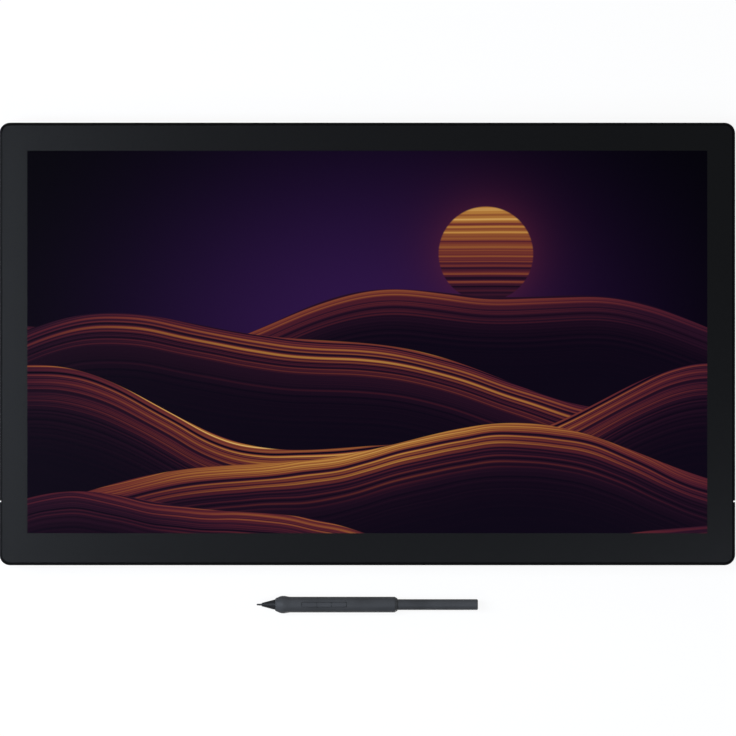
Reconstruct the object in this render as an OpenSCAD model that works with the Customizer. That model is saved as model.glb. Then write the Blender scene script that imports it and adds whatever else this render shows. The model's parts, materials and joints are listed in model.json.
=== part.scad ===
// Graphics tablet with screen, lying flat on a desk, with its pen in front of it.
// Millimetres. X runs to the right, Y away from the user, Z up from the desk.
// The origin is on the desk, under the middle of tablet and pen together.

/* [Screen] */
// Width of the lit picture
active_w = 476; // [460:1:500]
// Depth of the lit picture
active_d = 267.8; // [255:0.1:285]
// Edge of the display panel around the picture
panel_border = 4; // [3:0.5:5]
// Reach of the light guide past the picture
guide_over = 2; // [1:0.5:2.5]
// Height of the sealing adhesive and optical bond under the glass
bond_t = 0.5; // [0.3:0.1:0.8]
// Thickness of the cover glass
glass_t = 1.1; // [0.8:0.1:1.5]
// Chamfer along the upper edge of the glass
glass_chamfer = 0.25; // [0.1:0.05:0.4]
// Thickness of the display panel
lcd_t = 1.3; // [1:0.1:1.6]
// Thickness of the stack of diffuser films
films_t = 0.6; // [0.4:0.1:0.9]
// Thickness of the light guide
guide_t = 2.8; // [2.4:0.1:3.4]
// Depth of the row of lamps along the near edge of the light guide
led_room = 3; // [2.4:0.2:4]
// Number of lamps in the row
led_n = 40; // [20:1:60]

/* [Body] */
// Border between the picture and each side
side_border = 19.5; // [18.5:0.1:23]
// Border between the picture and the far edge
far_border = 19.6; // [18.6:0.1:23]
// Border between the picture and the near edge
near_border = 22.4; // [20:0.1:26]
// Radius of the corners seen from above
corner_r = 7.5; // [6.5:0.5:10]
// Width of the rim beside the glass
rim_w = 1.5; // [1.3:0.1:2]
// Chamfer along the top of the rim
rim_chamfer = 1.1; // [0.5:0.1:1.1]
// Thickness of the upright frame wall
frame_wall = 2.2; // [2:0.1:2.6]
// Thickness of the frame ledge that carries the glass
ledge_t = 1.9; // [1.5:0.1:2.3]
// Wall thickness of the rear cover
cover_wall = 2.2; // [2:0.1:2.6]
// How far the back is drawn in along each edge
bevel_in = 16; // [14:0.5:18]
// Height of the sloping edge of the back
bevel_h = 8.4; // [8:0.1:9]
// Corner cut of the back face
back_cut = 6; // [4:0.5:9]
// Height of the room for the electronics
room_h = 9.2; // [9.2:0.1:11]
// Height of the lip of the rear cover inside the frame
lip_h = 1.5; // [1:0.1:1.8]

/* [Chassis] */
// Thickness of the chassis plate
chassis_t = 1.5; // [1.2:0.1:2]
// Distance of the chassis plate from the frame wall
chassis_in = 1.5; // [1:0.1:2]
// Thickness of the pen digitizer board
sensor_t = 0.8; // [0.6:0.1:1.2]
// Thickness of the digitizer shield
shield_t = 0.4; // [0.3:0.1:0.6]
// Reach of the digitizer past the display panel
sensor_over = 1; // [0.5:0.1:1.4]
// Radius of the screw posts of the frame
post_r = 3; // [2.6:0.1:3.4]
// Distance of the corner screw posts from the sides
post_in_x = 23.5; // [22:0.5:26]
// Distance of the far side post from the far edge
post_far_in = 49.9; // [45:0.1:55]
// Distance of the near side post from the near edge
post_near_in = 109.9; // [105:0.1:115]

/* [Feet] */
// Height of the feet under the back face
foot_h = 1.6; // [1.2:0.1:2.5]
// Length of a foot pad
foot_l = 60; // [40:1:66]
// Width of a foot pad
foot_w = 10; // [8:0.5:13]
// Depth of the seat of a foot pad
foot_seat = 0.6; // [0.4:0.1:0.9]
// Distance of a pad centre from the side of the body
foot_in_x = 67.5; // [66:0.5:75]
// Distance of a pad centre from the far or near edge
foot_in_y = 29; // [27:0.5:34]

/* [Legs] */
// Distance of each leg from the side of the body
leg_in = 72.5; // [68:0.5:80]
// Place of the leg hinge away from the user
leg_hinge_y = 60; // [50:1:75]
// Width of a leg
leg_w = 30; // [24:1:34]
// Length of a leg from its hinge to its end
leg_l = 85; // [70:1:95]
// Thickness of a leg
leg_t = 6; // [5.4:0.1:6.4]
// How deep a folded leg lies under the back face
leg_sink = 0.2; // [0.1:0.1:0.4]
// Length of the soft tip of a leg
leg_tip_l = 9; // [7:0.5:12]
// Length of the tongue that holds the soft tip
leg_tongue_l = 5; // [3:0.5:7]
// Thickness of the tongue of the soft tip
leg_tongue_t = 2; // [1.4:0.1:2.6]
// Width of the hollow on the inner side of a leg
leg_hollow_w = 22; // [14:1:22]
// Depth of the hollow on the inner side of a leg
leg_hollow_h = 2.6; // [1.5:0.1:3.4]
// Free space around a leg in its well
leg_gap = 0.4; // [0.3:0.1:0.8]
// Length of the finger scoop past the end of a leg
scoop_l = 13; // [10:1:18]
// Wall thickness of the leg well
well_wall = 1.6; // [1.2:0.1:1.8]
// Radius of the hinge pin
pin_r = 1.5; // [1.2:0.1:1.7]
// Running clearance of the hinge pin in the leg
pin_play = 0.05; // [0.03:0.01:0.09]
// Clearance of the fixed hinge pin in the well walls
pin_seat = 0.02; // [0.01:0.01:0.05]

/* [Rear keys] */
// Number of keys on each side
key_n = 4; // [4:1:4]
// Length of a key along the side
key_l = 20; // [16:0.5:21]
// Width of a key across the sloping edge
key_w = 9; // [7:0.5:10]
// Corner radius of a key
key_r = 2; // [1:0.1:3]
// Spacing of the keys
key_pitch = 24; // [23.5:0.5:26]
// Place of the middle of the row of keys away from the user
key_row_y = 10; // [0:1:20]
// Shift of the keys down the slope
key_down = 1.5; // [1:0.1:2]
// How far a key stands out of the slope
key_proud = 0.8; // [0.7:0.1:1.2]
// Chamfer of the key face
key_chamfer = 0.4; // [0.2:0.1:0.6]
// Gap around a key
key_gap = 0.2; // [0.1:0.05:0.4]
// Play between key flange and wall
key_play = 0.05; // [0.03:0.01:0.1]
// Thickness of the key flange
key_flange_t = 0.8; // [0.6:0.1:1]
// Reach of the key flange past the key
key_flange = 1; // [0.6:0.1:1.2]
// Height of the nub that presses the switch
nub_h = 0.2; // [0.1:0.1:0.3]
// Radius of the nub that presses the switch
nub_r = 1.5; // [1:0.1:2]
// Travel of a key or of the power button
press_travel = 0.6; // [0.3:0.05:0.6]
// Space left at the end of the travel
press_spare = 0.05; // [0.03:0.01:0.1]
// Height of a push switch
switch_h = 1; // [0.8:0.1:1.2]
// Width of a push switch
switch_w = 4.5; // [4:0.1:6]
// Thickness of the small switch boards
strip_t = 0.8; // [0.6:0.1:1]
// Width of the key switch board
strip_w = 7; // [6:0.5:7]
// Length of a support of the key switch board
strip_post_l = 3; // [2:0.5:4]
// Length of the key switch board past the outer keys
strip_over = 4.5; // [4:0.5:6]

/* [Far edge controls] */
// Distance of the power button from the right side
power_in = 52.5; // [51:0.5:57]
// Width of the power button
power_w = 12; // [8:0.5:14]
// Height of the power button and of the touch slider
edge_h = 4; // [3:0.1:4.4]
// Corner radius of the power button
power_r = 1.5; // [0.8:0.1:1.6]
// Distance from the touch slider to the power button
touch_step = 24; // [22:0.5:26]
// Length of the touch slider knob
touch_w = 5; // [4:0.1:6]
// Travel of the touch slider
touch_travel = 3; // [2:0.1:3.5]
// How deep the touch slider knob lies under the wall face
touch_sink = 0.3; // [0.1:0.1:0.6]
// Length of the board behind the edge controls
edge_board_l = 50; // [48:1:52]
// Height of the board behind the edge controls
edge_board_h = 7; // [6:0.1:7.2]
// Length of the slide switch body
slide_body_l = 8; // [6:0.5:9]

/* [Accessory threads] */
// Distance of the index groove from the near edge
groove_near = 44.7; // [40:0.1:50]
// Width of the index groove
groove_w = 1.1; // [0.6:0.1:1.4]
// Depth of the index groove
groove_d = 1.2; // [0.8:0.1:1.2]
// Distance from the index groove to the thread
thread_step = 14.6; // [12:0.1:16]
// Radius of the thread, quarter inch
thread_r = 3.175; // [2.5:0.025:3.2]
// Wall of the threaded insert
insert_wall = 1.3; // [1:0.1:1.4]
// Length of the threaded insert
insert_l = 8.6; // [7:0.1:8.8]
// Depth of the thread
thread_l = 7.4; // [5:0.1:7.6]
// How deep the insert lies under the side face
insert_sink = 0.2; // [0.1:0.1:0.4]
// Wall of the block around the insert
insert_block = 1.3; // [1:0.1:1.6]

/* [Arm bracket] */
// Spacing of the arm mount threads
vesa_pitch = 100; // [100:25:100]
// Radius of the arm mount threads
vesa_r = 2; // [2:0.5:2]
// Outer radius of a thread boss
vesa_boss_r = 5; // [4:0.1:6]
// Height of a thread boss above the floor of the cover
vesa_boss_h = 5.4; // [4:0.1:5.6]
// Material left over the end of a thread
vesa_cap = 0.5; // [0.3:0.1:0.8]
// Size of the bracket plate
vesa_plate = 126; // [122:1:130]
// Thickness of the bracket plate
vesa_t = 1.2; // [1:0.1:1.5]
// Size of the opening in the bracket plate
vesa_hole = 62; // [50:1:70]
// Distance of a stake from the middle of the bracket
stake_off = 57; // [54:1:57]
// Radius of a plastic stake
stake_r = 1.5; // [1.2:0.1:2]
// Radius of the head of a stake
stake_head_r = 2.6; // [2.4:0.1:3.2]
// Height of the head of a stake
stake_head_h = 1; // [0.6:0.1:1.4]

/* [Main board] */
// Width of the main board
board_w = 170; // [164:1:176]
// Edge of the main board nearest the user, from the middle
board_near = 72; // [70:0.5:72]
// Edge of the main board away from the user, from the middle
board_far = 40; // [38:1:42]
// Thickness of the main board
board_t = 1.6; // [1.2:0.1:1.8]
// Height of the spacers over the main board
board_gap = 1; // [0.8:0.1:1.2]
// Radius of a spacer
spacer_r = 2.6; // [2.3:0.1:3]
// Size of the main chip
chip_w = 24; // [18:1:28]
// Height of the main chip
chip_h = 1.5; // [1.2:0.1:1.8]
// Width of the heat spreader
spreader_w = 70; // [62:1:76]
// Depth of the heat spreader
spreader_d = 60; // [50:1:64]
// Thickness of the heat spreader
spreader_t = 1.2; // [1:0.1:1.4]
// Width of a heat pipe
pipe_w = 6; // [5:0.5:7]
// Thickness of a heat pipe
pipe_t = 1.6; // [1.4:0.1:1.8]
// Distance of a heat pipe from the middle
pipe_x = 25; // [22:1:27]
// Bend radius of a heat pipe at its middle line
pipe_bend = 12; // [9:1:15]
// Width of a flat cable
flex_w = 16; // [10:1:18]
// Thickness of a flat cable
flex_t = 0.3; // [0.2:0.05:0.4]
// Distance of a flat cable from the side of the main board
flex_in = 10; // [9.5:0.5:10.5]
// Length of a flat cable socket
flex_socket_l = 4; // [3:0.5:5]

/* [Fans] */
// Distance of each fan from the leg beside it
fan_step = 75; // [72:1:79]
// Distance of each fan from the far edge
fan_in_y = 58.9; // [58:0.1:65]
// Size of a fan housing
fan_s = 52; // [46:1:54]
// Height of a fan housing
fan_h = 7.5; // [7:0.1:8]
// Wall of a fan housing
fan_wall = 1; // [0.8:0.1:1.2]
// Radius of the fan intake
fan_eye_r = 15; // [11:0.5:17]
// Radius of the fan hub
fan_hub_r = 9; // [7:0.5:10]
// Free space around the fan wheel
fan_gap = 1.6; // [1.2:0.1:2.2]
// Radius of the fan shaft
fan_shaft_r = 1; // [0.8:0.1:1.4]
// Running clearance of the fan shaft
fan_play = 0.05; // [0.03:0.01:0.09]
// Radius of the fan bearing
fan_bush_r = 3; // [2.6:0.1:3.6]
// Number of fan blades
fan_blades = 17; // [9:2:23]
// Thickness of a fan blade
fan_blade_t = 0.8; // [0.6:0.1:1.2]
// Height of the screw ears of a fan
fan_ear_h = 3.6; // [3.2:0.1:4]
// Depth of the cooling fins behind a fan
fin_d = 12; // [10:0.5:13]
// Number of cooling fins behind a fan
fin_n = 14; // [8:1:20]
// Thickness of a cooling fin
fin_t = 0.5; // [0.3:0.1:0.8]
// Number of air slots under a fan
vent_n = 9; // [5:2:11]
// Spacing of the air slots
vent_pitch = 4.2; // [3.4:0.1:4.4]
// Width of an air slot
vent_w = 2; // [1.4:0.1:2.2]
// Height of the air slots in the far slope
exhaust_h = 3; // [2:0.1:3.4]
// Height of the far air slots above the back
exhaust_up = 3.78; // [3:0.01:4.2]

/* [Port bay] */
// Distance of the port bay from each side of the main board
bay_in = 23; // [22:0.5:26]
// Length of the port bay
bay_l = 44; // [36:1:46]
// Place of the port wall toward the user
bay_wall_y = 76; // [75.5:0.1:77]
// Wall of the port bay
bay_wall = 1.4; // [1.2:0.1:1.6]
// Gap between the port bay and the chassis plate
bay_gap = 0.2; // [0.1:0.1:0.4]
// Length of a socket shell
port_l = 13; // [11:0.5:14]
// Wall of a socket shell
port_wall = 0.5; // [0.4:0.1:0.6]
// Gap around a socket in the port wall
port_gap = 0.2; // [0.1:0.05:0.4]
// Width of the video socket
hdmi_w = 15; // [14.5:0.1:16]
// Height of the video socket
hdmi_h = 5.6; // [5.4:0.1:6]
// Width of each slanted corner of the video socket
hdmi_cut_w = 2; // [1.6:0.1:2.4]
// Height of each slanted corner of the video socket
hdmi_cut_h = 2.1; // [1.8:0.1:2.2]
// Width of the contact tongue in the video socket
hdmi_tongue_w = 10.5; // [9:0.1:11]
// Thickness of the contact tongue in the video socket
hdmi_tongue_t = 1.2; // [1:0.1:1.4]
// Place of the video socket to the right
hdmi_x = -36; // [-38:1:-34]
// Width of a small socket
usb_w = 9.2; // [9:0.1:9.6]
// Height of a small socket
usb_h = 3.4; // [3.2:0.1:3.6]
// Place of the first small socket to the right
usb_x = -6; // [-8:1:-4]
// Spacing of the small sockets
usb_pitch = 21; // [20:1:22]
// Number of small sockets
usb_n = 3; // [3:1:3]
// Width of the contact tongue in a small socket
usb_tongue_w = 6.4; // [6:0.1:7]
// Thickness of the contact tongue in a small socket
usb_tongue_t = 0.8; // [0.6:0.1:1]
// Distance of a contact tongue from the mouth of its socket
tongue_in = 1; // [0.6:0.1:2]

/* [Screws] */
// Radius of the shank of a cover screw
big_r = 1.5; // [1.2:0.1:1.6]
// Length of the shank of a cover screw
big_l = 6.5; // [5:0.5:7]
// Radius of the head of a cover screw
big_head_r = 2.8; // [2.5:0.1:3]
// Height of the head of a cover screw
big_head_h = 1; // [0.8:0.1:1.1]
// How deep a cover screw head lies under the back face
big_sink = 0.2; // [0.1:0.1:0.3]
// Radius of the cover screw pillars
pillar_r = 3.5; // [3:0.1:4]
// Radius of the shank of an inner screw
small_r = 1.2; // [1:0.1:1.4]
// Length of the shank of an inner screw
small_l = 4; // [3.6:0.1:4]
// Radius of the head of an inner screw
small_head_r = 2.2; // [2:0.1:2.4]
// Height of the head of an inner screw
small_head_h = 1.1; // [0.9:0.1:1.2]
// Width of the cross in a screw head
cross_w = 0.6; // [0.4:0.1:0.8]
// Clearance between a screw shank and its hole
screw_play = 0.05; // [0.03:0.01:0.1]
// Distance of the corner screws from the sides
screw_in_x = 27.5; // [25:0.5:29]
// Distance of the screw rows from the far and near edges
screw_in_y = 29; // [27:0.5:32]
// Distance of the far row screws from the legs
screw_far_step = 39; // [37:1:41]
// Distance of the near row screws from the main board
screw_near_step = 15; // [12:1:25]
// Distance of the side screws from the sides
screw_mid_in = 42.5; // [41:0.5:45]
// Place of the side screws away from the user
screw_mid_y = 20; // [0:1:40]

/* [Pen] */
// Length of the pen
pen_l = 155; // [150:0.5:165]
// Distance of the pen axis from the near edge of the tablet
pen_gap = 27.7; // [20:0.1:40]
// Length of the nib outside the nose
nib_out = 3.5; // [2:0.1:4.5]
// Radius of the nib
nib_r = 0.7; // [0.5:0.05:0.9]
// Play of the nib in the nose
nib_play = 0.05; // [0.03:0.01:0.09]
// Travel of the nib under pressure
nib_travel = 1; // [0.4:0.1:1.2]
// Distance of the end of the nose cone from the pen tip
nose_end = 13; // [12:0.1:14]
// Radius of the nose cone at its tip
nose_tip_r = 1.2; // [1.1:0.05:1.5]
// Radius of the nose cone at its wide end
nose_r = 3.7; // [3.5:0.05:4.1]
// Radius of the nose spigot in the grip
spigot_r = 3.2; // [2.8:0.1:3.4]
// Length of the nose spigot in the grip
spigot_l = 4.5; // [3:0.5:5]
// Radius of the grip
grip_r = 5.5; // [5.2:0.1:5.8]
// Radius of the flare at the front of the grip
flare_r = 6.15; // [5.9:0.05:6.6]
// Place of the thickest point of the flare from the pen tip
flare_at = 18.6; // [17.5:0.1:20]
// Length of the flare behind its thickest point
flare_back = 5.4; // [4:0.1:6.5]
// Radius of the front edge of the grip
grip_front_r = 4.3; // [4.15:0.05:4.5]
// End of the grip from the pen tip
grip_end = 98.7; // [95:0.1:101]
// Length of the chamfer at the end of the grip
grip_chamfer = 2; // [1.5:0.1:3]
// Wall of the grip
grip_wall = 1.3; // [1.1:0.1:1.4]
// Radius of the rear shaft
shaft_r = 3.8; // [3.6:0.1:3.9]
// Wall of the rear shaft
shaft_wall = 0.9; // [0.7:0.1:1.2]
// Length of the rear shaft inside the grip
shaft_in = 6; // [4:0.5:7]
// Chamfer at the tail of the shaft
tail_chamfer = 0.5; // [0.3:0.1:0.8]
// Start of the button row from the pen tip
pen_key_at = 31.5; // [31:0.5:33]
// Length of a pen button
pen_key_l = 10.3; // [8:0.1:11]
// Width of a pen button
pen_key_w = 3.2; // [2.8:0.1:3.4]
// Gap around a pen button
pen_key_gap = 0.15; // [0.1:0.05:0.25]
// How far a pen button stands out of the grip
pen_key_proud = 0.35; // [0.2:0.05:0.6]
// Travel of a pen button
pen_key_travel = 0.4; // [0.2:0.05:0.5]
// Height of a switch on the pen board
pen_switch_h = 1.3; // [1:0.1:1.5]
// Thickness of the pen board
pen_board_t = 0.8; // [0.6:0.1:1]
// Width of the pen board
pen_board_w = 5.4; // [4.6:0.1:5.6]
// Length of the nib coil
coil_l = 8; // [6:0.5:8.5]
// Radius of the nib coil
coil_r = 2.9; // [2.6:0.1:3]
// Length of the pressure sensor
load_cell_l = 3.4; // [3:0.1:3.4]
// Length of the balance weight in the shaft
weight_l = 30; // [15:1:40]

/* [Fits] */
// Gap between glass and rim
glass_gap = 0.2; // [0.1:0.05:0.3]
// Gap between panel frame and window
window_gap = 0.3; // [0.2:0.05:0.5]
// Gap between sliding or seated inner pieces
seat_gap = 0.1; // [0.05:0.05:0.2]

/* [Hidden] */
$fn = 64;
eps = 0.5;

body_w = active_w + 2*side_border;
body_d = active_d + far_border + near_border;
screen_y = (near_border - far_border)/2;

z_back = foot_h;
z_floor = z_back + cover_wall;
z_split = z_back + bevel_h;
z_chassis = z_floor + room_h;
z_shield = z_chassis + chassis_t;
z_sensor = z_shield + shield_t;
z_guide = z_sensor + sensor_t;
z_films = z_guide + guide_t;
z_lcd = z_films + films_t;
z_bond = z_lcd + lcd_t;
z_glass = z_bond + bond_t;
z_top = z_glass + glass_t;
z_ledge = z_bond - ledge_t;

panel_w = active_w + 2*panel_border;
panel_d = active_d + 2*panel_border;
guide_w = active_w + 2*guide_over;
guide_d = active_d + 2*guide_over;
holder_over = 0.5;
holder_w = panel_w + 2*holder_over;
holder_d = panel_d + 2*holder_over;
window_w = holder_w + 2*window_gap;
window_d = holder_d + 2*window_gap;
sensor_w = panel_w + 2*sensor_over;
sensor_d = panel_d + 2*sensor_over;
glass_w = body_w - 2*rim_w - 2*glass_gap;
glass_d = body_d - 2*rim_w - 2*glass_gap;
glass_r = corner_r - rim_w - glass_gap;
tape_in = 1;
sheet_r = 1;

inner_w = body_w - 2*frame_wall;
inner_d = body_d - 2*frame_wall;
inner_r = corner_r - frame_wall;
chassis_w = inner_w - 2*chassis_in;
chassis_d = inner_d - 2*chassis_in;
chassis_r = inner_r - chassis_in;

rail_x = (window_w/2 + inner_w/2)/2;
rail_far_y = (screen_y + window_d/2 + inner_d/2)/2;
rail_near_y = (screen_y - window_d/2 - inner_d/2)/2;

post_pitch_x = (body_w/2 - post_in_x)/2;
post_pitch_y = (body_d - post_far_in - post_near_in)/2;
post_mid_y = (post_near_in - post_far_in)/2;

bevel_a = atan(bevel_h/bevel_in);
bevel_h_wall = cover_wall/sin(bevel_a);
bevel_run = bevel_in/bevel_h;

key_stack = cover_wall + key_play + key_flange_t + nub_h + press_travel + press_spare + switch_h;
edge_stack = frame_wall + key_play + key_flange_t + nub_h + press_travel + press_spare + switch_h;
key_strip_l = (key_n - 1)*key_pitch + key_l + 2*strip_over + 2*strip_post_l;
edge_z = (z_split + z_ledge)/2;
power_x = body_w/2 - power_in;
touch_x = power_x - touch_step;
edge_mid_x = (power_x + touch_x)/2;

groove_y = -body_d/2 + groove_near;
insert_y = groove_y + thread_step;
insert_z = (z_split + z_bond)/2;
insert_r = thread_r + insert_wall;
insert_back = 1.2;
insert_reach = insert_sink + insert_l + insert_back;
notch_room = 1;
insert_room_w = 2*(insert_reach + notch_room);
insert_room_d = 2*(insert_r + insert_block + notch_room);
edge_room = 0.8;
edge_post_w = 3;

leg_x = body_w/2 - leg_in;
leg_z = z_back + leg_sink + leg_t/2;
leg_r = leg_t/2;
well_w = leg_w + 2*leg_gap;
well_top = leg_z + leg_r + leg_gap;
well_far = leg_hinge_y + leg_r + leg_gap;
well_near = leg_hinge_y - leg_l - scoop_l;
leg_hollow_in = 2;
leg_hollow_l = leg_l - leg_tip_l - 2*(leg_tongue_l + leg_r + leg_hollow_in);

board_top = z_chassis - board_gap;
board_z = board_top - board_t;
spreader_z = board_z - chip_h - spreader_t;
pipe_z = spreader_z - pipe_t;
pipe_end_in = 4;
board_hole_in_x = 7;
board_hole_in_y = 6;
board_hole_x = board_w/2 - board_hole_in_x;
board_hole_far = board_far - board_hole_in_y;
board_hole_near = -board_near + board_hole_in_y;
bay_w = board_w - 2*bay_in;
bay_hole_in = 2;
board_near_x = bay_w/2 - bay_hole_in;
flex_x = board_w/2 - flex_in;

fan_x = leg_x - fan_step;
fan_y = body_d/2 - fan_in_y;
fan_z = z_chassis - fan_h;
fan_far = fan_y + fan_s/2;
fan_rim = 1;
fan_cell_r = fan_s/2 - fan_wall - fan_rim;
wheel_r = fan_cell_r - fan_gap;
wheel_under = 0.6;
wheel_over = 1;
wheel_z = fan_z + fan_wall + wheel_under;
wheel_h = fan_h - 2*fan_wall - wheel_under - wheel_over;
hub_t = 1.2;
bush_gap = 1;
bush_cap = 0.4;
bush_z = wheel_z + hub_t + bush_gap;
bush_end_z = z_chassis - bush_cap;
shaft_end_gap = 0.2;
fan_blade_a = 28;
fin_in = 6;
fin_w = fan_s - 2*fin_in;
fin_y = fan_far + seat_gap;
fin_base_t = 0.6;
pipe_run_y = fin_y + fin_d/2;
ear_over = 1;
ear_r = small_head_r + ear_over;

bay_top = z_chassis - bay_gap - bay_wall;
bay_near = -bay_wall_y - bay_l;

screw_far_x = leg_x - screw_far_step;
screw_near_x = board_w/2 + screw_near_step;
screw_mid_x = body_w/2 - screw_mid_in;
screw_head_z = z_back + big_sink;
screw_seat_z = screw_head_z + big_head_h;
screw_hole_play = 0.2;
screw_bowl_play = 0.25;
screw_hole_r = big_r + screw_hole_play;
screw_bowl_r = big_head_r + screw_bowl_play;

pen_y = -body_d/2 - pen_gap;
tablet_y = (pen_gap + flare_r)/2;
grip_bore = grip_r - grip_wall;
shaft_bore = shaft_r - shaft_wall;
coil_at = nose_end + spigot_l + seat_gap;
nib_past_coil = 1;
nib_end = coil_at + coil_l + nib_past_coil;
cell_play = 0.2;
cell_at = nib_end + nib_travel + cell_play;
cell_end = cell_at + load_cell_l;
pen_board_front = 0.4;
pen_board_back = 1;
pen_board_at = cell_end + pen_board_front;
pen_board_end = grip_end - shaft_in - pen_board_back;
carrier_r = grip_bore - seat_gap;
pen_board_z = -pen_board_t;
pen_key_n = 3;
pen_flange_over = 0.5;
pen_flange_w = pen_key_w + 2*pen_flange_over;
pen_flange_t = 0.7;
pen_flange_top = sqrt(pow(grip_bore - seat_gap, 2) - pow(pen_flange_w/2, 2)) - press_spare;
pen_row_l = pen_key_n*pen_key_l + (pen_key_n + 1)*pen_key_gap;
pen_switch_w = 3;
grip_end_lip = 0.5;

shell_colour = [0.16, 0.16, 0.17];
dark_colour = [0.08, 0.08, 0.09];
metal_colour = [0.62, 0.63, 0.65];
brass_colour = [0.72, 0.58, 0.3];
board_colour = [0.08, 0.3, 0.18];
rubber_colour = [0.1, 0.1, 0.1];
clear_colour = [0.75, 0.85, 0.9, 0.4];
white_colour = [0.9, 0.9, 0.88];
pen_colour = [0.24, 0.25, 0.28];
copper_colour = [0.7, 0.42, 0.28];
film_colour = [0.75, 0.5, 0.2];
coil_colour = [0.35, 0.2, 0.12];

// Shapes used by many pieces

module outline(w, d, r) {
  square([w - 2*r, d], center = true);
  square([w, d - 2*r], center = true);
  for (x = [-1, 1], y = [-1, 1])
    translate([x*(w/2 - r), y*(d/2 - r)]) circle(r);
}

module plate(w, d, h, r) linear_extrude(h) outline(w, d, r);

module block(w, d, h) translate([-w/2, -d/2, 0]) cube([w, d, h]);

module pill(l, w, h) linear_extrude(h) {
  square([l - w, w], center = true);
  for (x = [-1, 1]) translate([x*(l - w)/2, 0]) circle(w/2);
}

// Rounded plate that narrows by the inset over its height, rooted in the plate under it
module frustum(w, d, r, h, inset) {
  translate([0, 0, -eps]) plate(w - 2*inset, d - 2*inset, eps + h/2, r - inset);
  for (x = [-1, 1], y = [-1, 1])
    translate([x*(w/2 - r), y*(d/2 - r), 0]) cylinder(h = h, r1 = r, r2 = r - inset);
  rotate([90, 0, 90]) translate([0, 0, -(w/2 - r)]) linear_extrude(w - 2*r)
    polygon([[-d/2, 0], [d/2, 0], [d/2 - inset, h], [-d/2 + inset, h]]);
  rotate([90, 0, 0]) translate([0, 0, -(d/2 - r)]) linear_extrude(d - 2*r)
    polygon([[-w/2, 0], [w/2, 0], [w/2 - inset, h], [-w/2 + inset, h]]);
}

// Long bar with sloping flanks, half width a at height z1 and b at height z2
module trapeze(a, z1, b, z2, l) rotate([90, 0, 0]) linear_extrude(l, center = true)
  polygon([[-a, z1], [a, z1], [b, z2], [-b, z2]]);

module lie() rotate([0, 90, 0]) children();

module at_tablet() translate([0, tablet_y, 0]) children();

module at_screen() translate([0, screen_y, 0]) children();

module at_pen() translate([-pen_l/2, tablet_y + pen_y, flare_r]) children();

module on_side(side) {
  if (side > 0) children();
  else mirror([1, 0, 0]) children();
}

// Frame on the sloping edge at the right: X up the slope, Z out of it, Y toward the user
module on_bevel() translate([body_w/2 - bevel_in/2, 0, z_back + bevel_h/2])
  rotate([180, -bevel_a, 0]) children();

module at_key(i) on_bevel()
  translate([-key_down, -(key_row_y + ((key_n - 1)/2 - i)*key_pitch), 0]) children();

// Frame on the far wall: X right, Y up, Z out of the wall
module at_far_wall(x) translate([x, body_d/2, edge_z]) rotate([-90, 0, 0]) mirror([0, 1, 0]) children();

module at_posts() {
  for (i = [-2 : 2]) {
    translate([i*post_pitch_x, rail_far_y, 0]) children();
    translate([i*post_pitch_x, rail_near_y, 0]) children();
  }
  for (i = [-1 : 1], s = [-1, 1])
    translate([s*rail_x, post_mid_y + i*post_pitch_y, 0]) children();
}

module at_cover_screws() for (s = [-1, 1]) {
  translate([s*(body_w/2 - screw_in_x), body_d/2 - screw_in_y, 0]) children();
  translate([s*(body_w/2 - screw_in_x), -body_d/2 + screw_in_y, 0]) children();
  translate([s*screw_far_x, body_d/2 - screw_in_y, 0]) children();
  translate([s*screw_near_x, -body_d/2 + screw_in_y, 0]) children();
  translate([s*screw_mid_x, screw_mid_y, 0]) children();
}

module at_board_holes() for (s = [-1, 1]) {
  translate([s*board_hole_x, board_hole_far, 0]) children();
  translate([s*board_near_x, board_hole_near, 0]) children();
}

module at_fans() for (s = [-1, 1]) translate([s*fan_x, fan_y, 0]) children();

module at_fan_ears() for (s = [-1, 1])
  translate([s*(fan_s/2 + ear_r - fan_wall), -s*(fan_s/2 - 2*ear_r), 0]) children();

module at_feet() for (x = [-1, 1], y = [-1, 1])
  translate([x*(body_w/2 - foot_in_x), y*(body_d/2 - foot_in_y), 0]) children();

module at_vesa() for (x = [-1, 1], y = [-1, 1])
  translate([x*vesa_pitch/2, y*vesa_pitch/2, 0]) children();

module at_stakes() for (a = [0 : 90 : 270]) rotate([0, 0, a]) translate([stake_off, 0, 0]) children();

// Screw with its head down and its shank pointing up from z = 0
module screw(r, l, head_r, head_h) difference() {
  cross_l = 1.2*head_r;
  cross_h = 0.6*head_h;
  union() {
    translate([0, 0, -head_h]) cylinder(h = head_h, r = head_r);
    cylinder(h = l, r = r);
  }
  for (a = [0, 90]) rotate([0, 0, a])
    translate([0, 0, -head_h - eps]) block(cross_l, cross_w, cross_h + eps);
}

// Display stack

module cover_glass() color(clear_colour) {
  translate([0, 0, z_glass]) plate(glass_w, glass_d, glass_t - glass_chamfer, glass_r);
  translate([0, 0, z_top - glass_chamfer])
    frustum(glass_w, glass_d, glass_r, glass_chamfer, glass_chamfer);
}

module glass_adhesive() color(clear_colour) {
  at_screen() translate([0, 0, z_bond]) plate(panel_w, panel_d, bond_t, sheet_r);
  difference() {
    translate([0, 0, z_bond]) plate(glass_w - 2*tape_in, glass_d - 2*tape_in, bond_t, glass_r - tape_in);
    at_screen() translate([0, 0, z_bond - eps])
      plate(window_w + 2*tape_in, window_d + 2*tape_in, bond_t + 2*eps, sheet_r);
  }
}

module lcd_panel() color(dark_colour) at_screen()
  translate([0, 0, z_lcd]) plate(panel_w, panel_d, lcd_t, sheet_r);

module diffuser_films() color(white_colour) at_screen()
  translate([0, 0, z_films]) plate(guide_w, guide_d, films_t, sheet_r);

module light_guide() color(clear_colour) at_screen()
  translate([0, led_room/2, z_guide]) block(guide_w, guide_d - led_room, guide_t);

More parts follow.
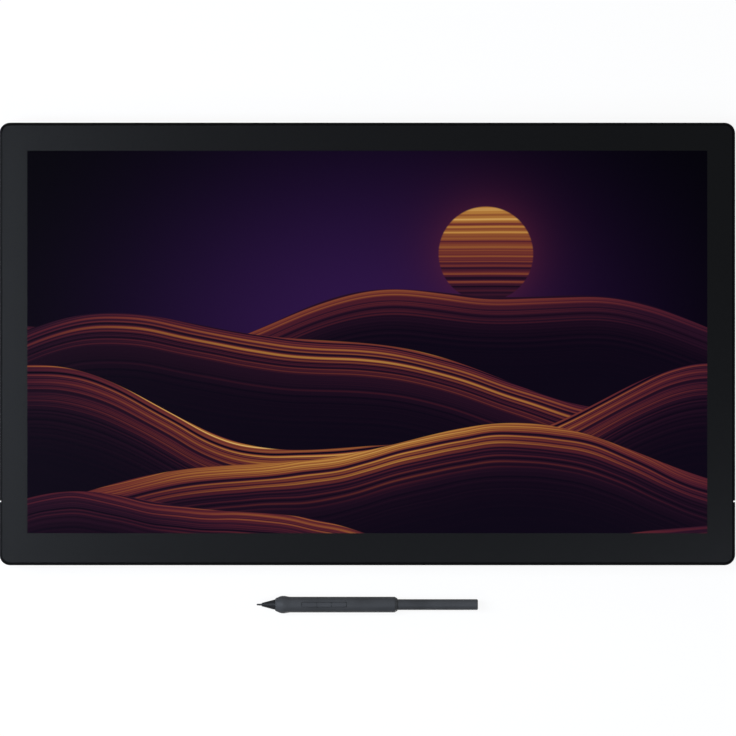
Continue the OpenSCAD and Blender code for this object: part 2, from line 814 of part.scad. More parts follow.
module led_bar() color(white_colour) at_screen() translate([0, -guide_d/2, z_guide]) {
  strip = 0.8;
  lamp_share = 0.6;
  lamp_pitch = guide_w/led_n;
  lamp_h = lamp_share*guide_t;
  translate([0, strip/2, 0]) block(guide_w, strip, guide_t);
  for (i = [0 : led_n - 1])
    translate([(i - (led_n - 1)/2)*lamp_pitch, led_room/2, (guide_t - lamp_h)/2])
      block(lamp_share*lamp_pitch, led_room, lamp_h);
}

module panel_frame() color(dark_colour) at_screen() translate([0, 0, z_guide]) difference() {
  plate(holder_w, holder_d, guide_t + films_t, sheet_r);
  translate([0, 0, -eps])
    block(guide_w + 2*seat_gap, guide_d + 2*seat_gap, guide_t + films_t + 2*eps);
}

module digitizer_board() color(board_colour) at_screen()
  translate([0, 0, z_sensor]) plate(sensor_w, sensor_d, sensor_t, sheet_r);

module digitizer_shield() color(metal_colour) at_screen()
  translate([0, 0, z_shield]) plate(sensor_w, sensor_d, shield_t, sheet_r);

// Structure

module chassis_plate() color(metal_colour) difference() {
  union() {
    translate([0, 0, z_chassis]) plate(chassis_w, chassis_d, chassis_t, chassis_r);
    at_cover_screws() translate([0, 0, z_floor]) cylinder(h = z_chassis - z_floor + eps, r = pillar_r);
    at_board_holes() translate([0, 0, board_top]) cylinder(h = board_gap + eps, r = spacer_r);
  }
  at_cover_screws() translate([0, 0, z_floor - eps])
    cylinder(h = big_l + 2*eps, r = big_r + screw_play);
  at_board_holes() translate([0, 0, board_top - eps])
    cylinder(h = board_gap + chassis_t + 2*eps, r = small_r + screw_play);
  at_fans() at_fan_ears() translate([0, 0, z_chassis - eps])
    cylinder(h = chassis_t + 2*eps, r = small_r + screw_play);
  at_posts() translate([0, 0, z_chassis - eps])
    cylinder(h = chassis_t + 2*eps, r = small_r + 2*screw_play);
  // notches for the threaded inserts, the edge board and the flat cables
  for (s = [-1, 1]) {
    translate([s*body_w/2, insert_y, z_chassis - eps])
      block(insert_room_w, insert_room_d, chassis_t + 2*eps);
    translate([s*flex_x, rail_near_y, z_chassis - eps])
      block(flex_w + 2*notch_room, sensor_over + 4*notch_room, chassis_t + 2*eps);
  }
  translate([edge_mid_x, body_d/2, z_chassis - eps])
    block(edge_board_l + 4*notch_room, 2*(edge_stack + strip_t + edge_room), chassis_t + 2*eps);
}

module front_frame() color(shell_colour) difference() {
  union() {
    difference() {
      union() {
        translate([0, 0, z_split]) plate(body_w, body_d, z_top - rim_chamfer - z_split, corner_r);
        translate([0, 0, z_top - rim_chamfer])
          frustum(body_w, body_d, corner_r, rim_chamfer, rim_chamfer);
      }
      // seat of the glass
      translate([0, 0, z_bond])
        plate(glass_w + 2*glass_gap, glass_d + 2*glass_gap, z_top - z_bond + eps, glass_r + glass_gap);
      // window of the display
      at_screen() translate([0, 0, z_split - eps]) plate(window_w, window_d, z_top, sheet_r);
      // hollow under the ledge
      translate([0, 0, z_split - eps]) plate(inner_w, inner_d, z_ledge - z_split + eps, inner_r);
    }
    at_posts() translate([0, 0, z_shield]) cylinder(h = z_ledge - z_shield + eps, r = post_r);
    // blocks around the threaded inserts
    for (s = [-1, 1]) on_side(s)
      translate([body_w/2 - insert_reach, insert_y - insert_r - insert_block, z_split])
        cube([insert_reach - eps, 2*(insert_r + insert_block), z_bond - z_split - eps]);
    // supports of the edge board
    for (s = [-1, 1]) at_far_wall(edge_mid_x + s*(edge_board_l - edge_post_w)/2)
      translate([0, 0, -edge_stack]) block(edge_post_w, edge_h, edge_stack - frame_wall/2);
  }
  at_posts() translate([0, 0, z_shield - eps])
    cylinder(h = small_l - chassis_t + 2*eps, r = small_r + screw_play);
  for (s = [-1, 1]) on_side(s) {
    translate([body_w/2 - insert_sink - insert_l, insert_y, insert_z])
      lie() cylinder(h = insert_sink + insert_l + eps, r = insert_r);
    translate([body_w/2 - groove_d, groove_y - groove_w/2, z_split - eps])
      cube([groove_d + eps, groove_w, z_top - z_split + 2*eps]);
  }
  at_far_wall(power_x) translate([0, 0, -frame_wall - eps])
    plate(power_w + 2*key_gap, edge_h + 2*key_gap, frame_wall + 2*eps, power_r + key_gap);
  at_far_wall(touch_x + touch_travel/2) translate([0, 0, -frame_wall - eps])
    block(touch_w + touch_travel + 2*key_gap, edge_h + 2*key_gap, frame_wall + 2*eps);
}

// Solid with sloping edges between two heights; the inset is measured at the upper height
module tray(inset, z1, z2) {
  a1 = bevel_run*(z_split - z1);
  a2 = bevel_run*(z_split - z2);
  intersection() {
    trapeze(body_w/2 - inset - a1, z1, body_w/2 - inset - a2, z2, body_d + 4*eps);
    rotate([0, 0, 90])
      trapeze(body_d/2 - inset - a1, z1, body_d/2 - inset - a2, z2, body_w + 4*eps);
    children();
  }
}

module cover_shell() {
  corner_reach = (body_w/2 + body_d/2 - 2*corner_r)/sqrt(2) + corner_r;
  corner_back = (body_w/2 + body_d/2 - 2*bevel_in)/sqrt(2) - back_cut;
  difference() {
    tray(0, z_back, z_split) intersection() {
      plate(body_w, body_d, z_top, corner_r);
      rotate([0, 0, 45]) trapeze(corner_back, z_back, corner_reach, z_split, 2*body_w);
      rotate([0, 0, -45]) trapeze(corner_back, z_back, corner_reach, z_split, 2*body_w);
    }
    tray(bevel_h_wall, z_floor, z_split) translate([0, 0, z_floor])
      plate(body_w - 2*bevel_h_wall, body_d - 2*bevel_h_wall, z_top, sheet_r);
    translate([0, 0, z_split - eps/2])
      plate(body_w - 2*bevel_h_wall, body_d - 2*bevel_h_wall, z_top, sheet_r);
  }
}

module cover_lip() translate([0, 0, z_split - eps]) difference() {
  plate(inner_w - 2*seat_gap, inner_d - 2*seat_gap, lip_h + eps, inner_r - seat_gap);
  translate([0, 0, -eps])
    plate(body_w - 2*bevel_h_wall, body_d - 2*bevel_h_wall, lip_h + 3*eps, sheet_r);
  // room for the threaded inserts and the edge board
  for (s = [-1, 1])
    translate([s*body_w/2, insert_y, -eps]) block(3*bevel_h_wall, insert_room_d, lip_h + 3*eps);
  translate([edge_mid_x, body_d/2, -eps])
    block(edge_board_l + 2*notch_room, 3*bevel_h_wall, lip_h + 3*eps);
}

module leg_well_box() translate([-well_w/2 - well_wall, well_near - well_wall, z_back + eps])
  cube([well_w + 2*well_wall, well_far - well_near + 2*well_wall, well_top + well_wall - z_back - eps]);

module bay_box() translate([-bay_w/2 - bay_wall, bay_near - bay_wall, z_back + eps])
  cube([bay_w + 2*bay_wall, bay_l + 2*bay_wall, bay_top + bay_wall - z_back - eps]);

module rear_cover() color(shell_colour) difference() {
  union() {
    cover_shell();
    cover_lip();
    for (s = [-1, 1]) translate([s*leg_x, 0, 0]) leg_well_box();
    bay_box();
    at_stakes() {
      translate([0, 0, z_floor - eps]) cylinder(h = vesa_t + stake_head_h + eps, r = stake_r);
      translate([0, 0, z_floor + vesa_t]) cylinder(h = stake_head_h, r = stake_head_r);
    }
    // supports of the key switch boards
    for (s = [-1, 1], e = [-1, 1]) on_side(s) on_bevel()
      translate([-key_down, -key_row_y + e*(key_strip_l - strip_post_l)/2, -key_stack])
        block(strip_w, strip_post_l, key_stack - cover_wall/2);
  }
  for (s = [-1, 1]) translate([s*leg_x, 0, 0]) {
    translate([-well_w/2, well_near, z_back - eps])
      cube([well_w, well_far - well_near, well_top - z_back + eps]);
    translate([-well_w/2 - well_wall - eps, leg_hinge_y, leg_z])
      lie() cylinder(h = well_w + 2*well_wall + 2*eps, r = pin_r + pin_seat);
  }
  translate([-bay_w/2, bay_near, z_back - eps]) cube([bay_w, bay_l, bay_top - z_back + eps]);
  // sockets through the port wall
  translate([hdmi_x, -bay_wall_y - eps, board_z - hdmi_h - port_gap])
    video_shape(hdmi_w + 2*port_gap, hdmi_h + 2*port_gap, bay_wall + 2*eps);
  for (i = [0 : usb_n - 1])
    translate([usb_x + i*usb_pitch, -bay_wall_y + bay_wall/2, board_z - usb_h - port_gap])
      block(usb_w + 2*port_gap, bay_wall + 2*eps, usb_h + 2*port_gap);
  // screw seats, foot seats and thread bosses
  at_cover_screws() {
    translate([0, 0, z_back - eps]) cylinder(h = big_sink + big_head_h + eps, r = screw_bowl_r);
    translate([0, 0, z_back]) cylinder(h = cover_wall + eps, r = screw_hole_r);
  }
  at_feet() translate([0, 0, z_back - eps])
    pill(foot_l + 2*seat_gap, foot_w + 2*seat_gap, foot_seat + eps);
  at_vesa() translate([0, 0, z_back - eps]) cylinder(h = cover_wall + 2*eps, r = vesa_boss_r + seat_gap);
  // keys
  for (s = [-1, 1], i = [0 : key_n - 1]) on_side(s) at_key(i) translate([0, 0, -cover_wall - eps])
    plate(key_w + 2*key_gap, key_l + 2*key_gap, cover_wall + 2*eps, key_r + key_gap);
  // air slots under the fans and in the far slope
  at_fans() for (i = [-(vent_n - 1)/2 : (vent_n - 1)/2])
    translate([i*vent_pitch, 0, z_back - eps]) rotate([0, 0, 90])
      pill(2*sqrt(pow(vent_pitch*(vent_n + 1)/2, 2) - pow(i*vent_pitch, 2)), vent_w, cover_wall + 2*eps);
  for (s = [-1, 1], i = [-(vent_n - 1)/2 : (vent_n - 1)/2])
    translate([s*fan_x + i*vent_pitch, body_d/2 - bevel_in/2, z_back + exhaust_up])
      block(vent_w, bevel_in, exhaust_h);
  for (s = [-1, 1]) on_side(s)
    translate([body_w/2 - groove_d, groove_y - groove_w/2, z_back])
      cube([groove_d + eps, groove_w, bevel_h + lip_h]);
}

module vesa_bracket() color(metal_colour) difference() {
  union() {
    translate([0, 0, z_floor]) difference() {
      plate(vesa_plate, vesa_plate, vesa_t, 2*vesa_boss_r);
      translate([0, 0, -eps]) plate(vesa_hole, vesa_hole, vesa_t + 2*eps, vesa_boss_r);
    }
    at_vesa() translate([0, 0, z_back]) cylinder(h = cover_wall + vesa_boss_h, r = vesa_boss_r);
  }
  at_vesa() translate([0, 0, z_back - eps])
    cylinder(h = cover_wall + vesa_boss_h - vesa_cap + eps, r = vesa_r);
  at_stakes() translate([0, 0, z_floor - eps]) cylinder(h = vesa_t + 2*eps, r = stake_r + seat_gap);
}

module rubber_feet() color(rubber_colour) at_feet() pill(foot_l, foot_w, foot_h + foot_seat);

module thread_inserts() color(brass_colour) for (s = [-1, 1]) on_side(s)
  translate([body_w/2 - insert_sink - insert_l, insert_y, insert_z]) lie() difference() {
    cylinder(h = insert_l, r = insert_r);
    translate([0, 0, insert_l - thread_l]) cylinder(h = thread_l + eps, r = thread_r);
  }

// Legs

module leg_hinge_pins() color(metal_colour) for (s = [-1, 1])
  translate([s*leg_x - well_w/2 - well_wall, leg_hinge_y, leg_z])
    lie() cylinder(h = well_w + 2*well_wall, r = pin_r);

module at_leg(side) translate([side*leg_x, leg_hinge_y, leg_z]) children();

module leg(side) color(shell_colour) at_leg(side) difference() {
  union() {
    translate([-leg_w/2, 0, 0]) lie() cylinder(h = leg_w, r = leg_r);
    translate([-leg_w/2, -leg_l + leg_tip_l, -leg_r]) cube([leg_w, leg_l - leg_tip_l, leg_t]);
  }
  translate([-leg_w/2 - eps, 0, 0]) lie() cylinder(h = leg_w + 2*eps, r = pin_r + pin_play);
  // hollow on the inner side
  translate([0, -(leg_l - leg_tip_l)/2, leg_r - leg_hollow_h])
    plate(leg_hollow_w, leg_hollow_l, leg_hollow_h + eps, 2*sheet_r);
  // slot for the tongue of the soft tip
  translate([0, -leg_l + leg_tip_l + (leg_tongue_l + seat_gap)/2 - eps/2, -(leg_tongue_t + 2*seat_gap)/2])
    block(leg_w/2 + 2*seat_gap, leg_tongue_l + seat_gap + eps, leg_tongue_t + 2*seat_gap);
}

module leg_tip(side) color(rubber_colour) at_leg(side) {
  corner = 1.5;
  rib_gap = 0.6;
  rib_h = 0.5;
  difference() {
    translate([-leg_w/2, -leg_l, -leg_r]) cube([leg_w, leg_tip_l, leg_t]);
    for (i = [-1 : 1]) translate([-leg_w/2 - eps, -leg_l - eps, i*leg_t/4 - rib_gap/2])
      cube([leg_w + 2*eps, rib_h + eps, rib_gap]);
    for (s = [-1, 1]) translate([s*leg_w/2, -leg_l, -leg_t]) rotate([0, 0, 45])
      block(corner*sqrt(2), corner*sqrt(2), 2*leg_t);
  }
  translate([0, -leg_l + leg_tip_l + leg_tongue_l/2 - eps/2, -leg_tongue_t/2])
    block(leg_w/2, leg_tongue_l + eps, leg_tongue_t);
}

// Rear keys

module key_body(w, l, r, wall, proud, chamfer) {
  translate([0, 0, -wall - key_play]) plate(w, l, wall + key_play + proud - chamfer, r);
  translate([0, 0, proud - chamfer]) frustum(w, l, r, chamfer, chamfer);
  translate([0, 0, -wall - key_play - key_flange_t])
    plate(w + 2*key_flange, l + 2*key_flange, key_flange_t, r + key_flange);
  translate([0, 0, -wall - key_play - key_flange_t - nub_h]) cylinder(h = nub_h + eps, r = nub_r);
}

module express_key(side, i) color(dark_colour) on_side(side) at_key(i)
  key_body(key_w, key_l, key_r, cover_wall, key_proud, key_chamfer);

module key_boards() color(board_colour) for (s = [-1, 1]) on_side(s) on_bevel()
  translate([-key_down, -key_row_y, -key_stack - strip_t]) block(strip_w, key_strip_l, strip_t);

module push_switch() {
  case_h = 0.7*switch_h;
  stem_r = 0.8*nub_r;
  block(switch_w, switch_w, case_h);
  cylinder(h = switch_h, r = stem_r);
}

module key_switches() color(dark_colour) for (s = [-1, 1], i = [0 : key_n - 1])
  on_side(s) at_key(i) translate([0, 0, -key_stack]) push_switch();

// Controls in the far wall

module power_button() color(dark_colour) at_far_wall(power_x)
  key_body(power_w, edge_h, power_r, frame_wall, 0, key_chamfer);

module touch_slider() color(dark_colour) at_far_wall(touch_x) {
  ridge_w = 0.5;
  ridge_l = 0.8*edge_h;
  ridge_h = 0.7*touch_sink;
  translate([0, 0, -frame_wall - key_play])
    block(touch_w, edge_h, frame_wall + key_play - touch_sink);
  for (i = [-1 : 1]) translate([i*touch_w/4, 0, -touch_sink - eps])
    block(ridge_w, ridge_l, eps + ridge_h);
  translate([0, 0, -frame_wall - key_play - key_flange_t])
    block(touch_w + 2*(touch_travel + key_flange), edge_h + 2*key_flange, key_flange_t);
}

module edge_board() color(board_colour) at_far_wall(edge_mid_x)
  translate([0, z_ledge - edge_z - edge_board_h/2, -edge_stack - strip_t])
    block(edge_board_l, edge_board_h, strip_t);

module edge_switches() color(metal_colour) {
  slide_body_h = 0.7*edge_h;
  at_far_wall(power_x) translate([0, 0, -edge_stack]) push_switch();
  at_far_wall(touch_x + touch_travel/2) translate([0, 0, -edge_stack])
    block(slide_body_l, slide_body_h, switch_h);
}

// Electronics

module main_board() color(board_colour) difference() {
  translate([-board_w/2, -board_near, board_z]) cube([board_w, board_near + board_far, board_t]);
  at_board_holes() translate([0, 0, board_z - eps])
    cylinder(h = board_t + 2*eps, r = small_r + 2*screw_play);
}

module board_chips() color(dark_colour) {
  side_chip = chip_w/2;
  memory_x = chip_w + 1;
  memory_y = spreader_d/5;
  memory_d = 0.75*side_chip;
  low = 1;
  tall = 2.6;
  row_x = spreader_w/2 + side_chip;
  coil_gap = 6;
  can_r = 2.5;
  can_pitch = 8;
  can_n = 3;
  flex_socket_over = 1.5;
  flex_socket_h = 0.9*board_gap;
  translate([0, 0, board_z - chip_h]) block(chip_w, chip_w, chip_h);
  for (s = [-1, 1]) {
    translate([s*memory_x, memory_y, board_z - low]) block(side_chip, memory_d, low);
    for (y = [0, 2*side_chip])
      translate([s*(row_x + coil_gap), y, board_z - tall]) block(side_chip, side_chip, tall);
    for (i = [0 : can_n - 1])
      translate([s*(row_x + i*can_pitch), -2*side_chip, board_z - tall]) cylinder(h = tall, r = can_r);
    translate([s*flex_x, board_hole_near + 1.5*flex_socket_l, board_top])
      block(flex_w + 2*flex_socket_over, flex_socket_l, flex_socket_h);
  }
}

module heat_spreader() color(metal_colour)
  translate([0, 0, spreader_z]) plate(spreader_w, spreader_d, spreader_t, 2*sheet_r);

module heat_pipe() linear_extrude(pipe_t) {
  start_y = -spreader_d/2 + pipe_end_in;
  translate([pipe_x - pipe_w/2, start_y]) square([pipe_w, pipe_run_y - pipe_bend - start_y]);
  translate([pipe_x + pipe_bend, pipe_run_y - pipe_w/2])
    square([fan_x + fin_w/2 - pipe_x - pipe_bend, pipe_w]);
  translate([pipe_x + pipe_bend, pipe_run_y - pipe_bend]) intersection() {
    difference() {
      circle(pipe_bend + pipe_w/2);
      circle(pipe_bend - pipe_w/2);
    }
    translate([-2*pipe_bend, 0]) square([2*pipe_bend, 2*pipe_bend]);
  }
}

module heat_pipes() color(copper_colour)
  for (s = [-1, 1]) on_side(s) translate([0, 0, pipe_z]) heat_pipe();

module fin_stacks() color(metal_colour) for (s = [-1, 1]) translate([s*fan_x, fin_y, spreader_z]) {
  fin_h = z_chassis - spreader_z - seat_gap;
  translate([0, fin_d/2, 0]) block(fin_w, fin_d, fin_base_t);
  for (i = [0 : fin_n - 1]) translate([(i - (fin_n - 1)/2)*fin_w/fin_n, fin_d/2, 0])
    block(fin_t, fin_d, fin_h);
}

module fan_housings() color(dark_colour) at_fans() difference() {
  union() {
    difference() {
      translate([0, 0, fan_z]) block(fan_s, fan_s, fan_h);
      translate([0, 0, fan_z + fan_wall]) cylinder(h = fan_h - 2*fan_wall, r = fan_cell_r);
      translate([0, fan_s/4, fan_z + fan_wall]) block(fin_w, fan_s/2 + eps, fan_h - 2*fan_wall);
      translate([0, 0, fan_z - eps]) cylinder(h = fan_wall + 2*eps, r = fan_eye_r);
    }
    translate([0, 0, bush_z]) cylinder(h = z_chassis - bush_z - eps, r = fan_bush_r);
    at_fan_ears() translate([0, 0, z_chassis - fan_ear_h]) cylinder(h = fan_ear_h, r = ear_r);
  }
  translate([0, 0, wheel_z]) cylinder(h = bush_end_z - wheel_z, r = fan_shaft_r + fan_play);
  at_fan_ears() translate([0, 0, z_chassis - fan_ear_h - eps])
    cylinder(h = fan_ear_h + 2*eps, r = small_r + 2*screw_play);
}

module fan_rotor(side) color(shell_colour) translate([side*fan_x, fan_y, wheel_z]) {
  difference() {
    cylinder(h = wheel_h, r = fan_hub_r);
    translate([0, 0, hub_t]) cylinder(h = wheel_h, r = fan_hub_r - hub_t);
  }
  cylinder(h = bush_end_z - shaft_end_gap - wheel_z, r = fan_shaft_r);
  for (i = [0 : fan_blades - 1]) rotate([0, 0, i*360/fan_blades])
    translate([fan_hub_r - hub_t/2, 0, 0]) rotate([0, 0, -fan_blade_a])
      translate([0, -fan_blade_t/2, 0]) cube([wheel_r - fan_hub_r, fan_blade_t, wheel_h]);
}

// Outline of the video plug, with its two slanted corners up, drawn out along Y
module video_shape(w, h, l) translate([0, l, 0]) rotate([90, 0, 0]) linear_extrude(l)
  polygon([
    [-w/2, 0], [w/2, 0], [w/2, h - hdmi_cut_h],
    [w/2 - hdmi_cut_w, h], [hdmi_cut_w - w/2, h], [-w/2, h - hdmi_cut_h]
  ]);

module hdmi_socket() color(metal_colour) translate([hdmi_x, -bay_wall_y, board_z - hdmi_h]) {
  difference() {
    video_shape(hdmi_w, hdmi_h, port_l);
    translate([0, -eps, port_wall])
      video_shape(hdmi_w - 2*port_wall, hdmi_h - 2*port_wall, port_l - 2*port_wall + eps);
  }
  translate([0, (port_l + tongue_in)/2, (hdmi_h - hdmi_tongue_t)/2])
    block(hdmi_tongue_w, port_l - tongue_in, hdmi_tongue_t);
}

module usb_c_sockets() color(metal_colour) for (i = [0 : usb_n - 1])
  translate([usb_x + i*usb_pitch, -bay_wall_y, board_z - usb_h/2]) rotate([-90, 0, 0]) {
    difference() {
      pill(usb_w, usb_h, port_l);
      translate([0, 0, -eps])
        pill(usb_w - 2*port_wall, usb_h - 2*port_wall, port_l - 2*port_wall + eps);
    }
    translate([0, 0, tongue_in]) block(usb_tongue_w, usb_tongue_t, port_l - tongue_in);
  }

module flex_cables() color(film_colour) for (s = [-1, 1])
  translate([s*flex_x - flex_w/2, 0, board_top]) {
    edge_y = screen_y - sensor_d/2;
    down_y = rail_near_y;
    socket_y = board_hole_near + flex_socket_l;
    rise = z_sensor + sensor_t/2 - board_top;
    translate([0, down_y, 0]) cube([flex_w, socket_y - down_y, flex_t]);
    translate([0, down_y, 0]) cube([flex_w, flex_t, rise]);
    translate([0, down_y, rise - flex_t]) cube([flex_w, edge_y - down_y, flex_t]);
  }

// Screws

module cover_screws() color(metal_colour) at_cover_screws()
  translate([0, 0, screw_seat_z]) screw(big_r, big_l, big_head_r, big_head_h);

module inner_screws() color(metal_colour) {
  at_posts() translate([0, 0, z_chassis]) screw(small_r, small_l, small_head_r, small_head_h);
  at_board_holes() translate([0, 0, board_z]) screw(small_r, small_l, small_head_r, small_head_h);
  at_fans() at_fan_ears() translate([0, 0, z_chassis - fan_ear_h])
    screw(small_r, small_l, small_head_r, small_head_h);
}

// Pen, built along X from the tip of the nib

module turn(points) lie() rotate_extrude() polygon(points);

module pen_grip() color(pen_colour) at_pen() difference() {
  flare_front = flare_at - nose_end;
  steps = 12;
  turn(concat(
    [[0, nose_end]],
    [for (i = [0 : steps]) let(t = 90*i/steps)
      [grip_front_r + (flare_r - grip_front_r)*sin(t), nose_end + flare_front*i/steps]],
    [for (i = [1 : steps]) let(t = 180*i/steps)
      [grip_r + (flare_r - grip_r)*(1 + cos(t))/2, flare_at + flare_back*i/steps]],
    [[grip_r, grip_end - grip_chamfer], [shaft_r + grip_end_lip, grip_end], [0, grip_end]]
  ));
  translate([nose_end - eps, 0, 0]) lie() cylinder(h = spigot_l + 2*eps, r = spigot_r + pin_seat);
  translate([coil_at - seat_gap, 0, 0])
    lie() cylinder(h = grip_end - shaft_in - coil_at + seat_gap, r = grip_bore);
  translate([grip_end - shaft_in - eps, 0, 0]) lie() cylinder(h = shaft_in + 2*eps, r = shaft_r + pin_seat);
  translate([pen_key_at, -pen_key_w/2 - pen_key_gap, 0])
    cube([pen_row_l, pen_key_w + 2*pen_key_gap, 2*grip_r]);
}

module pen_nose() color(dark_colour) at_pen() difference() {
  turn([
    [0, nib_out], [nose_tip_r, nib_out], [nose_r, nose_end], [spigot_r, nose_end],
    [spigot_r, nose_end + spigot_l], [0, nose_end + spigot_l]
  ]);
  lie() cylinder(h = nose_end + spigot_l + eps, r = nib_r + nib_play);
}

module pen_nib() color(dark_colour) at_pen() {
  tip_r = 0.35*nib_r;
  edge_r = 0.8*nib_r;
  edge_at = 0.3;
  full_at = 0.8*nib_out;
  turn([[0, 0], [tip_r, 0], [edge_r, edge_at], [nib_r, full_at], [nib_r, nib_end], [0, nib_end]]);
}

module pen_shaft() color(pen_colour) at_pen() difference() {
  front = grip_end - shaft_in;
  turn([
    [0, front], [shaft_r, front], [shaft_r, pen_l - tail_chamfer],
    [shaft_r - tail_chamfer, pen_l], [0, pen_l]
  ]);
  translate([front - eps, 0, 0]) lie() cylinder(h = pen_l - front - shaft_wall + eps, r = shaft_bore);
}

module pen_button(i) color(dark_colour) at_pen() {
  start = pen_key_at + pen_key_gap + i*(pen_key_l + pen_key_gap);
  mid = start + pen_key_l/2;
  stem_r = 0.8;
  intersection() {
    translate([start, -pen_key_w/2, pen_flange_top - eps]) cube([pen_key_l, pen_key_w, grip_r]);
    lie() cylinder(h = pen_l, r = grip_r + pen_key_proud);
  }
  translate([mid, 0, pen_flange_top - pen_flange_t]) block(pen_key_l, pen_flange_w, pen_flange_t);
  translate([mid, 0, pen_switch_h + pen_key_travel + press_spare])
    cylinder(h = pen_flange_top - pen_switch_h - pen_key_travel - press_spare - eps/2, r = stem_r);
}

module pen_carrier() color(white_colour) at_pen() difference() {
  translate([coil_at, 0, 0]) lie() cylinder(h = pen_board_end - coil_at, r = carrier_r);
  translate([coil_at - eps, -grip_r, pen_board_z]) cube([pen_board_end - coil_at + 2*eps, 2*grip_r, grip_r]);
  translate([coil_at - eps, 0, 0]) lie() cylinder(h = cell_end - coil_at + eps, r = coil_r + pin_seat);
}

module pen_coil() color(coil_colour) at_pen() translate([coil_at, 0, 0]) lie() difference() {
  winding_t = 0.4;
  winding_l = 0.6*coil_l;
  union() {
    cylinder(h = coil_l, r = coil_r - winding_t);
    translate([0, 0, (coil_l - winding_l)/2]) cylinder(h = winding_l, r = coil_r);
  }
  translate([0, 0, -eps]) cylinder(h = coil_l + 2*eps, r = nib_r + 2*seat_gap);
}

module pen_load_cell() color(metal_colour) at_pen()
  translate([cell_at, 0, 0]) lie() cylinder(h = load_cell_l, r = coil_r);

module pen_board() color(board_colour) at_pen() {
  translate([pen_board_at, -pen_board_w/2, pen_board_z])
    cube([pen_board_end - pen_board_at, pen_board_w, pen_board_t]);
  for (i = [0 : pen_key_n - 1])
    translate([pen_key_at + pen_key_gap + i*(pen_key_l + pen_key_gap) + pen_key_l/2, 0, -eps/2])
      block(pen_switch_w, pen_switch_w, pen_switch_h + eps/2);
}

module pen_weight() color(brass_colour) at_pen()
  translate([pen_l - shaft_wall - weight_l, 0, 0]) lie() cylinder(h = weight_l, r = shaft_bore - pin_seat);

// Drawing

at_tablet() cover_glass();
at_tablet() glass_adhesive();
at_tablet() lcd_panel();
at_tablet() diffuser_films();
at_tablet() light_guide();
at_tablet() led_bar();
at_tablet() panel_frame();
at_tablet() digitizer_board();
at_tablet() digitizer_shield();
at_tablet() chassis_plate();
at_tablet() front_frame();
at_tablet() rear_cover();
at_tablet() vesa_bracket();
at_tablet() rubber_feet();
at_tablet() leg_hinge_pins();
at_tablet() fan_housings();
at_tablet() main_board();
at_tablet() board_chips();
at_tablet() heat_spreader();
at_tablet() heat_pipes();
at_tablet() fin_stacks();
at_tablet() hdmi_socket();
at_tablet() usb_c_sockets();
at_tablet() key_boards();
at_tablet() key_switches();
at_tablet() edge_board();
at_tablet() edge_switches();
at_tablet() thread_inserts();
at_tablet() flex_cables();
at_tablet() cover_screws();
at_tablet() inner_screws();
at_tablet() leg(-1);  // left_leg
at_tablet() leg(1);  // right_leg
at_tablet() leg_tip(-1);  // left_leg_tip
at_tablet() leg_tip(1);  // right_leg_tip
at_tablet() fan_rotor(-1);  // left_fan_rotor
at_tablet() fan_rotor(1);  // right_fan_rotor
at_tablet() express_key(-1, 0);  // left_key_1
at_tablet() express_key(-1, 1);  // left_key_2
at_tablet() express_key(-1, 2);  // left_key_3
at_tablet() express_key(-1, 3);  // left_key_4
at_tablet() express_key(1, 0);  // right_key_1
at_tablet() express_key(1, 1);  // right_key_2
at_tablet() express_key(1, 2);  // right_key_3
at_tablet() express_key(1, 3);  // right_key_4
at_tablet() power_button();
at_tablet() touch_slider();
pen_grip();
pen_nose();
pen_nib();
pen_shaft();
pen_button(0);  // pen_button_1
pen_button(1);  // pen_button_2
pen_button(2);  // pen_button_3
pen_carrier();
pen_coil();
pen_load_cell();
pen_board();
pen_weight();
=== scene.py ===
# Looks of a graphics tablet with screen and its pen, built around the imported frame.
# Lengths are in metres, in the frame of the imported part, unless a heading says otherwise.
import json
import math

import bmesh
import bpy
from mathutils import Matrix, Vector


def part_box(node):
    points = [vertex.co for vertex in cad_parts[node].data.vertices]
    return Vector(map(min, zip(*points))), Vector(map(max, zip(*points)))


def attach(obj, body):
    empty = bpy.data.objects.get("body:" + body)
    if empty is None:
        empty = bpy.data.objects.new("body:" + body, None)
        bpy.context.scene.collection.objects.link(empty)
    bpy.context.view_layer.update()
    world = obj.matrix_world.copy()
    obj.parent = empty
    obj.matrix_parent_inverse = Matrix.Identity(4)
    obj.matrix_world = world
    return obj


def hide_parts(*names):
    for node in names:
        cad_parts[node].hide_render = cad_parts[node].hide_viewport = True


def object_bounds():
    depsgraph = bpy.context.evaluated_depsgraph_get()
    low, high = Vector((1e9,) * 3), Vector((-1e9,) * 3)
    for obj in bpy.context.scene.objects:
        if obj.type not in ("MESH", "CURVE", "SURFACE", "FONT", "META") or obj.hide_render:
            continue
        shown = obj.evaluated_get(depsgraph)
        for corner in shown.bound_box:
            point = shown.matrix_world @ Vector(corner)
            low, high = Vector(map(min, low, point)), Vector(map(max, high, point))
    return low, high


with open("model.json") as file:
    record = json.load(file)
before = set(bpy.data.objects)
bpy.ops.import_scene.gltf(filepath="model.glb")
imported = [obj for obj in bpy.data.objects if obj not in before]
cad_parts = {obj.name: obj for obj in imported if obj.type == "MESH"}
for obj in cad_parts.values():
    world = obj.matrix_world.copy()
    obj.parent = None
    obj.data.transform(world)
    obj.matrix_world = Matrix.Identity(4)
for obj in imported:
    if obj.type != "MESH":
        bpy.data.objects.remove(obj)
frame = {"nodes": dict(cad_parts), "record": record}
cad_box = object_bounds()
nodes = frame["nodes"]
MM = 0.001
MICRON = 0.000001

# Glass front, in millimetres
ACTIVE_W = 476.0
ACTIVE_D = 267.8
ACTIVE_SHIFT = 1.4
GLASS_R = 5.8
GLASS_CHAMFER = 0.25

# Camera, in millimetres: the width it takes in, its lens and sensor, and the point it stands over
PHOTO_SPAN = 515.2
PHOTO_LENS = 1200.0
SENSOR = 36.0
PHOTO_AIM = (0.5, 0.1)

# Shader building

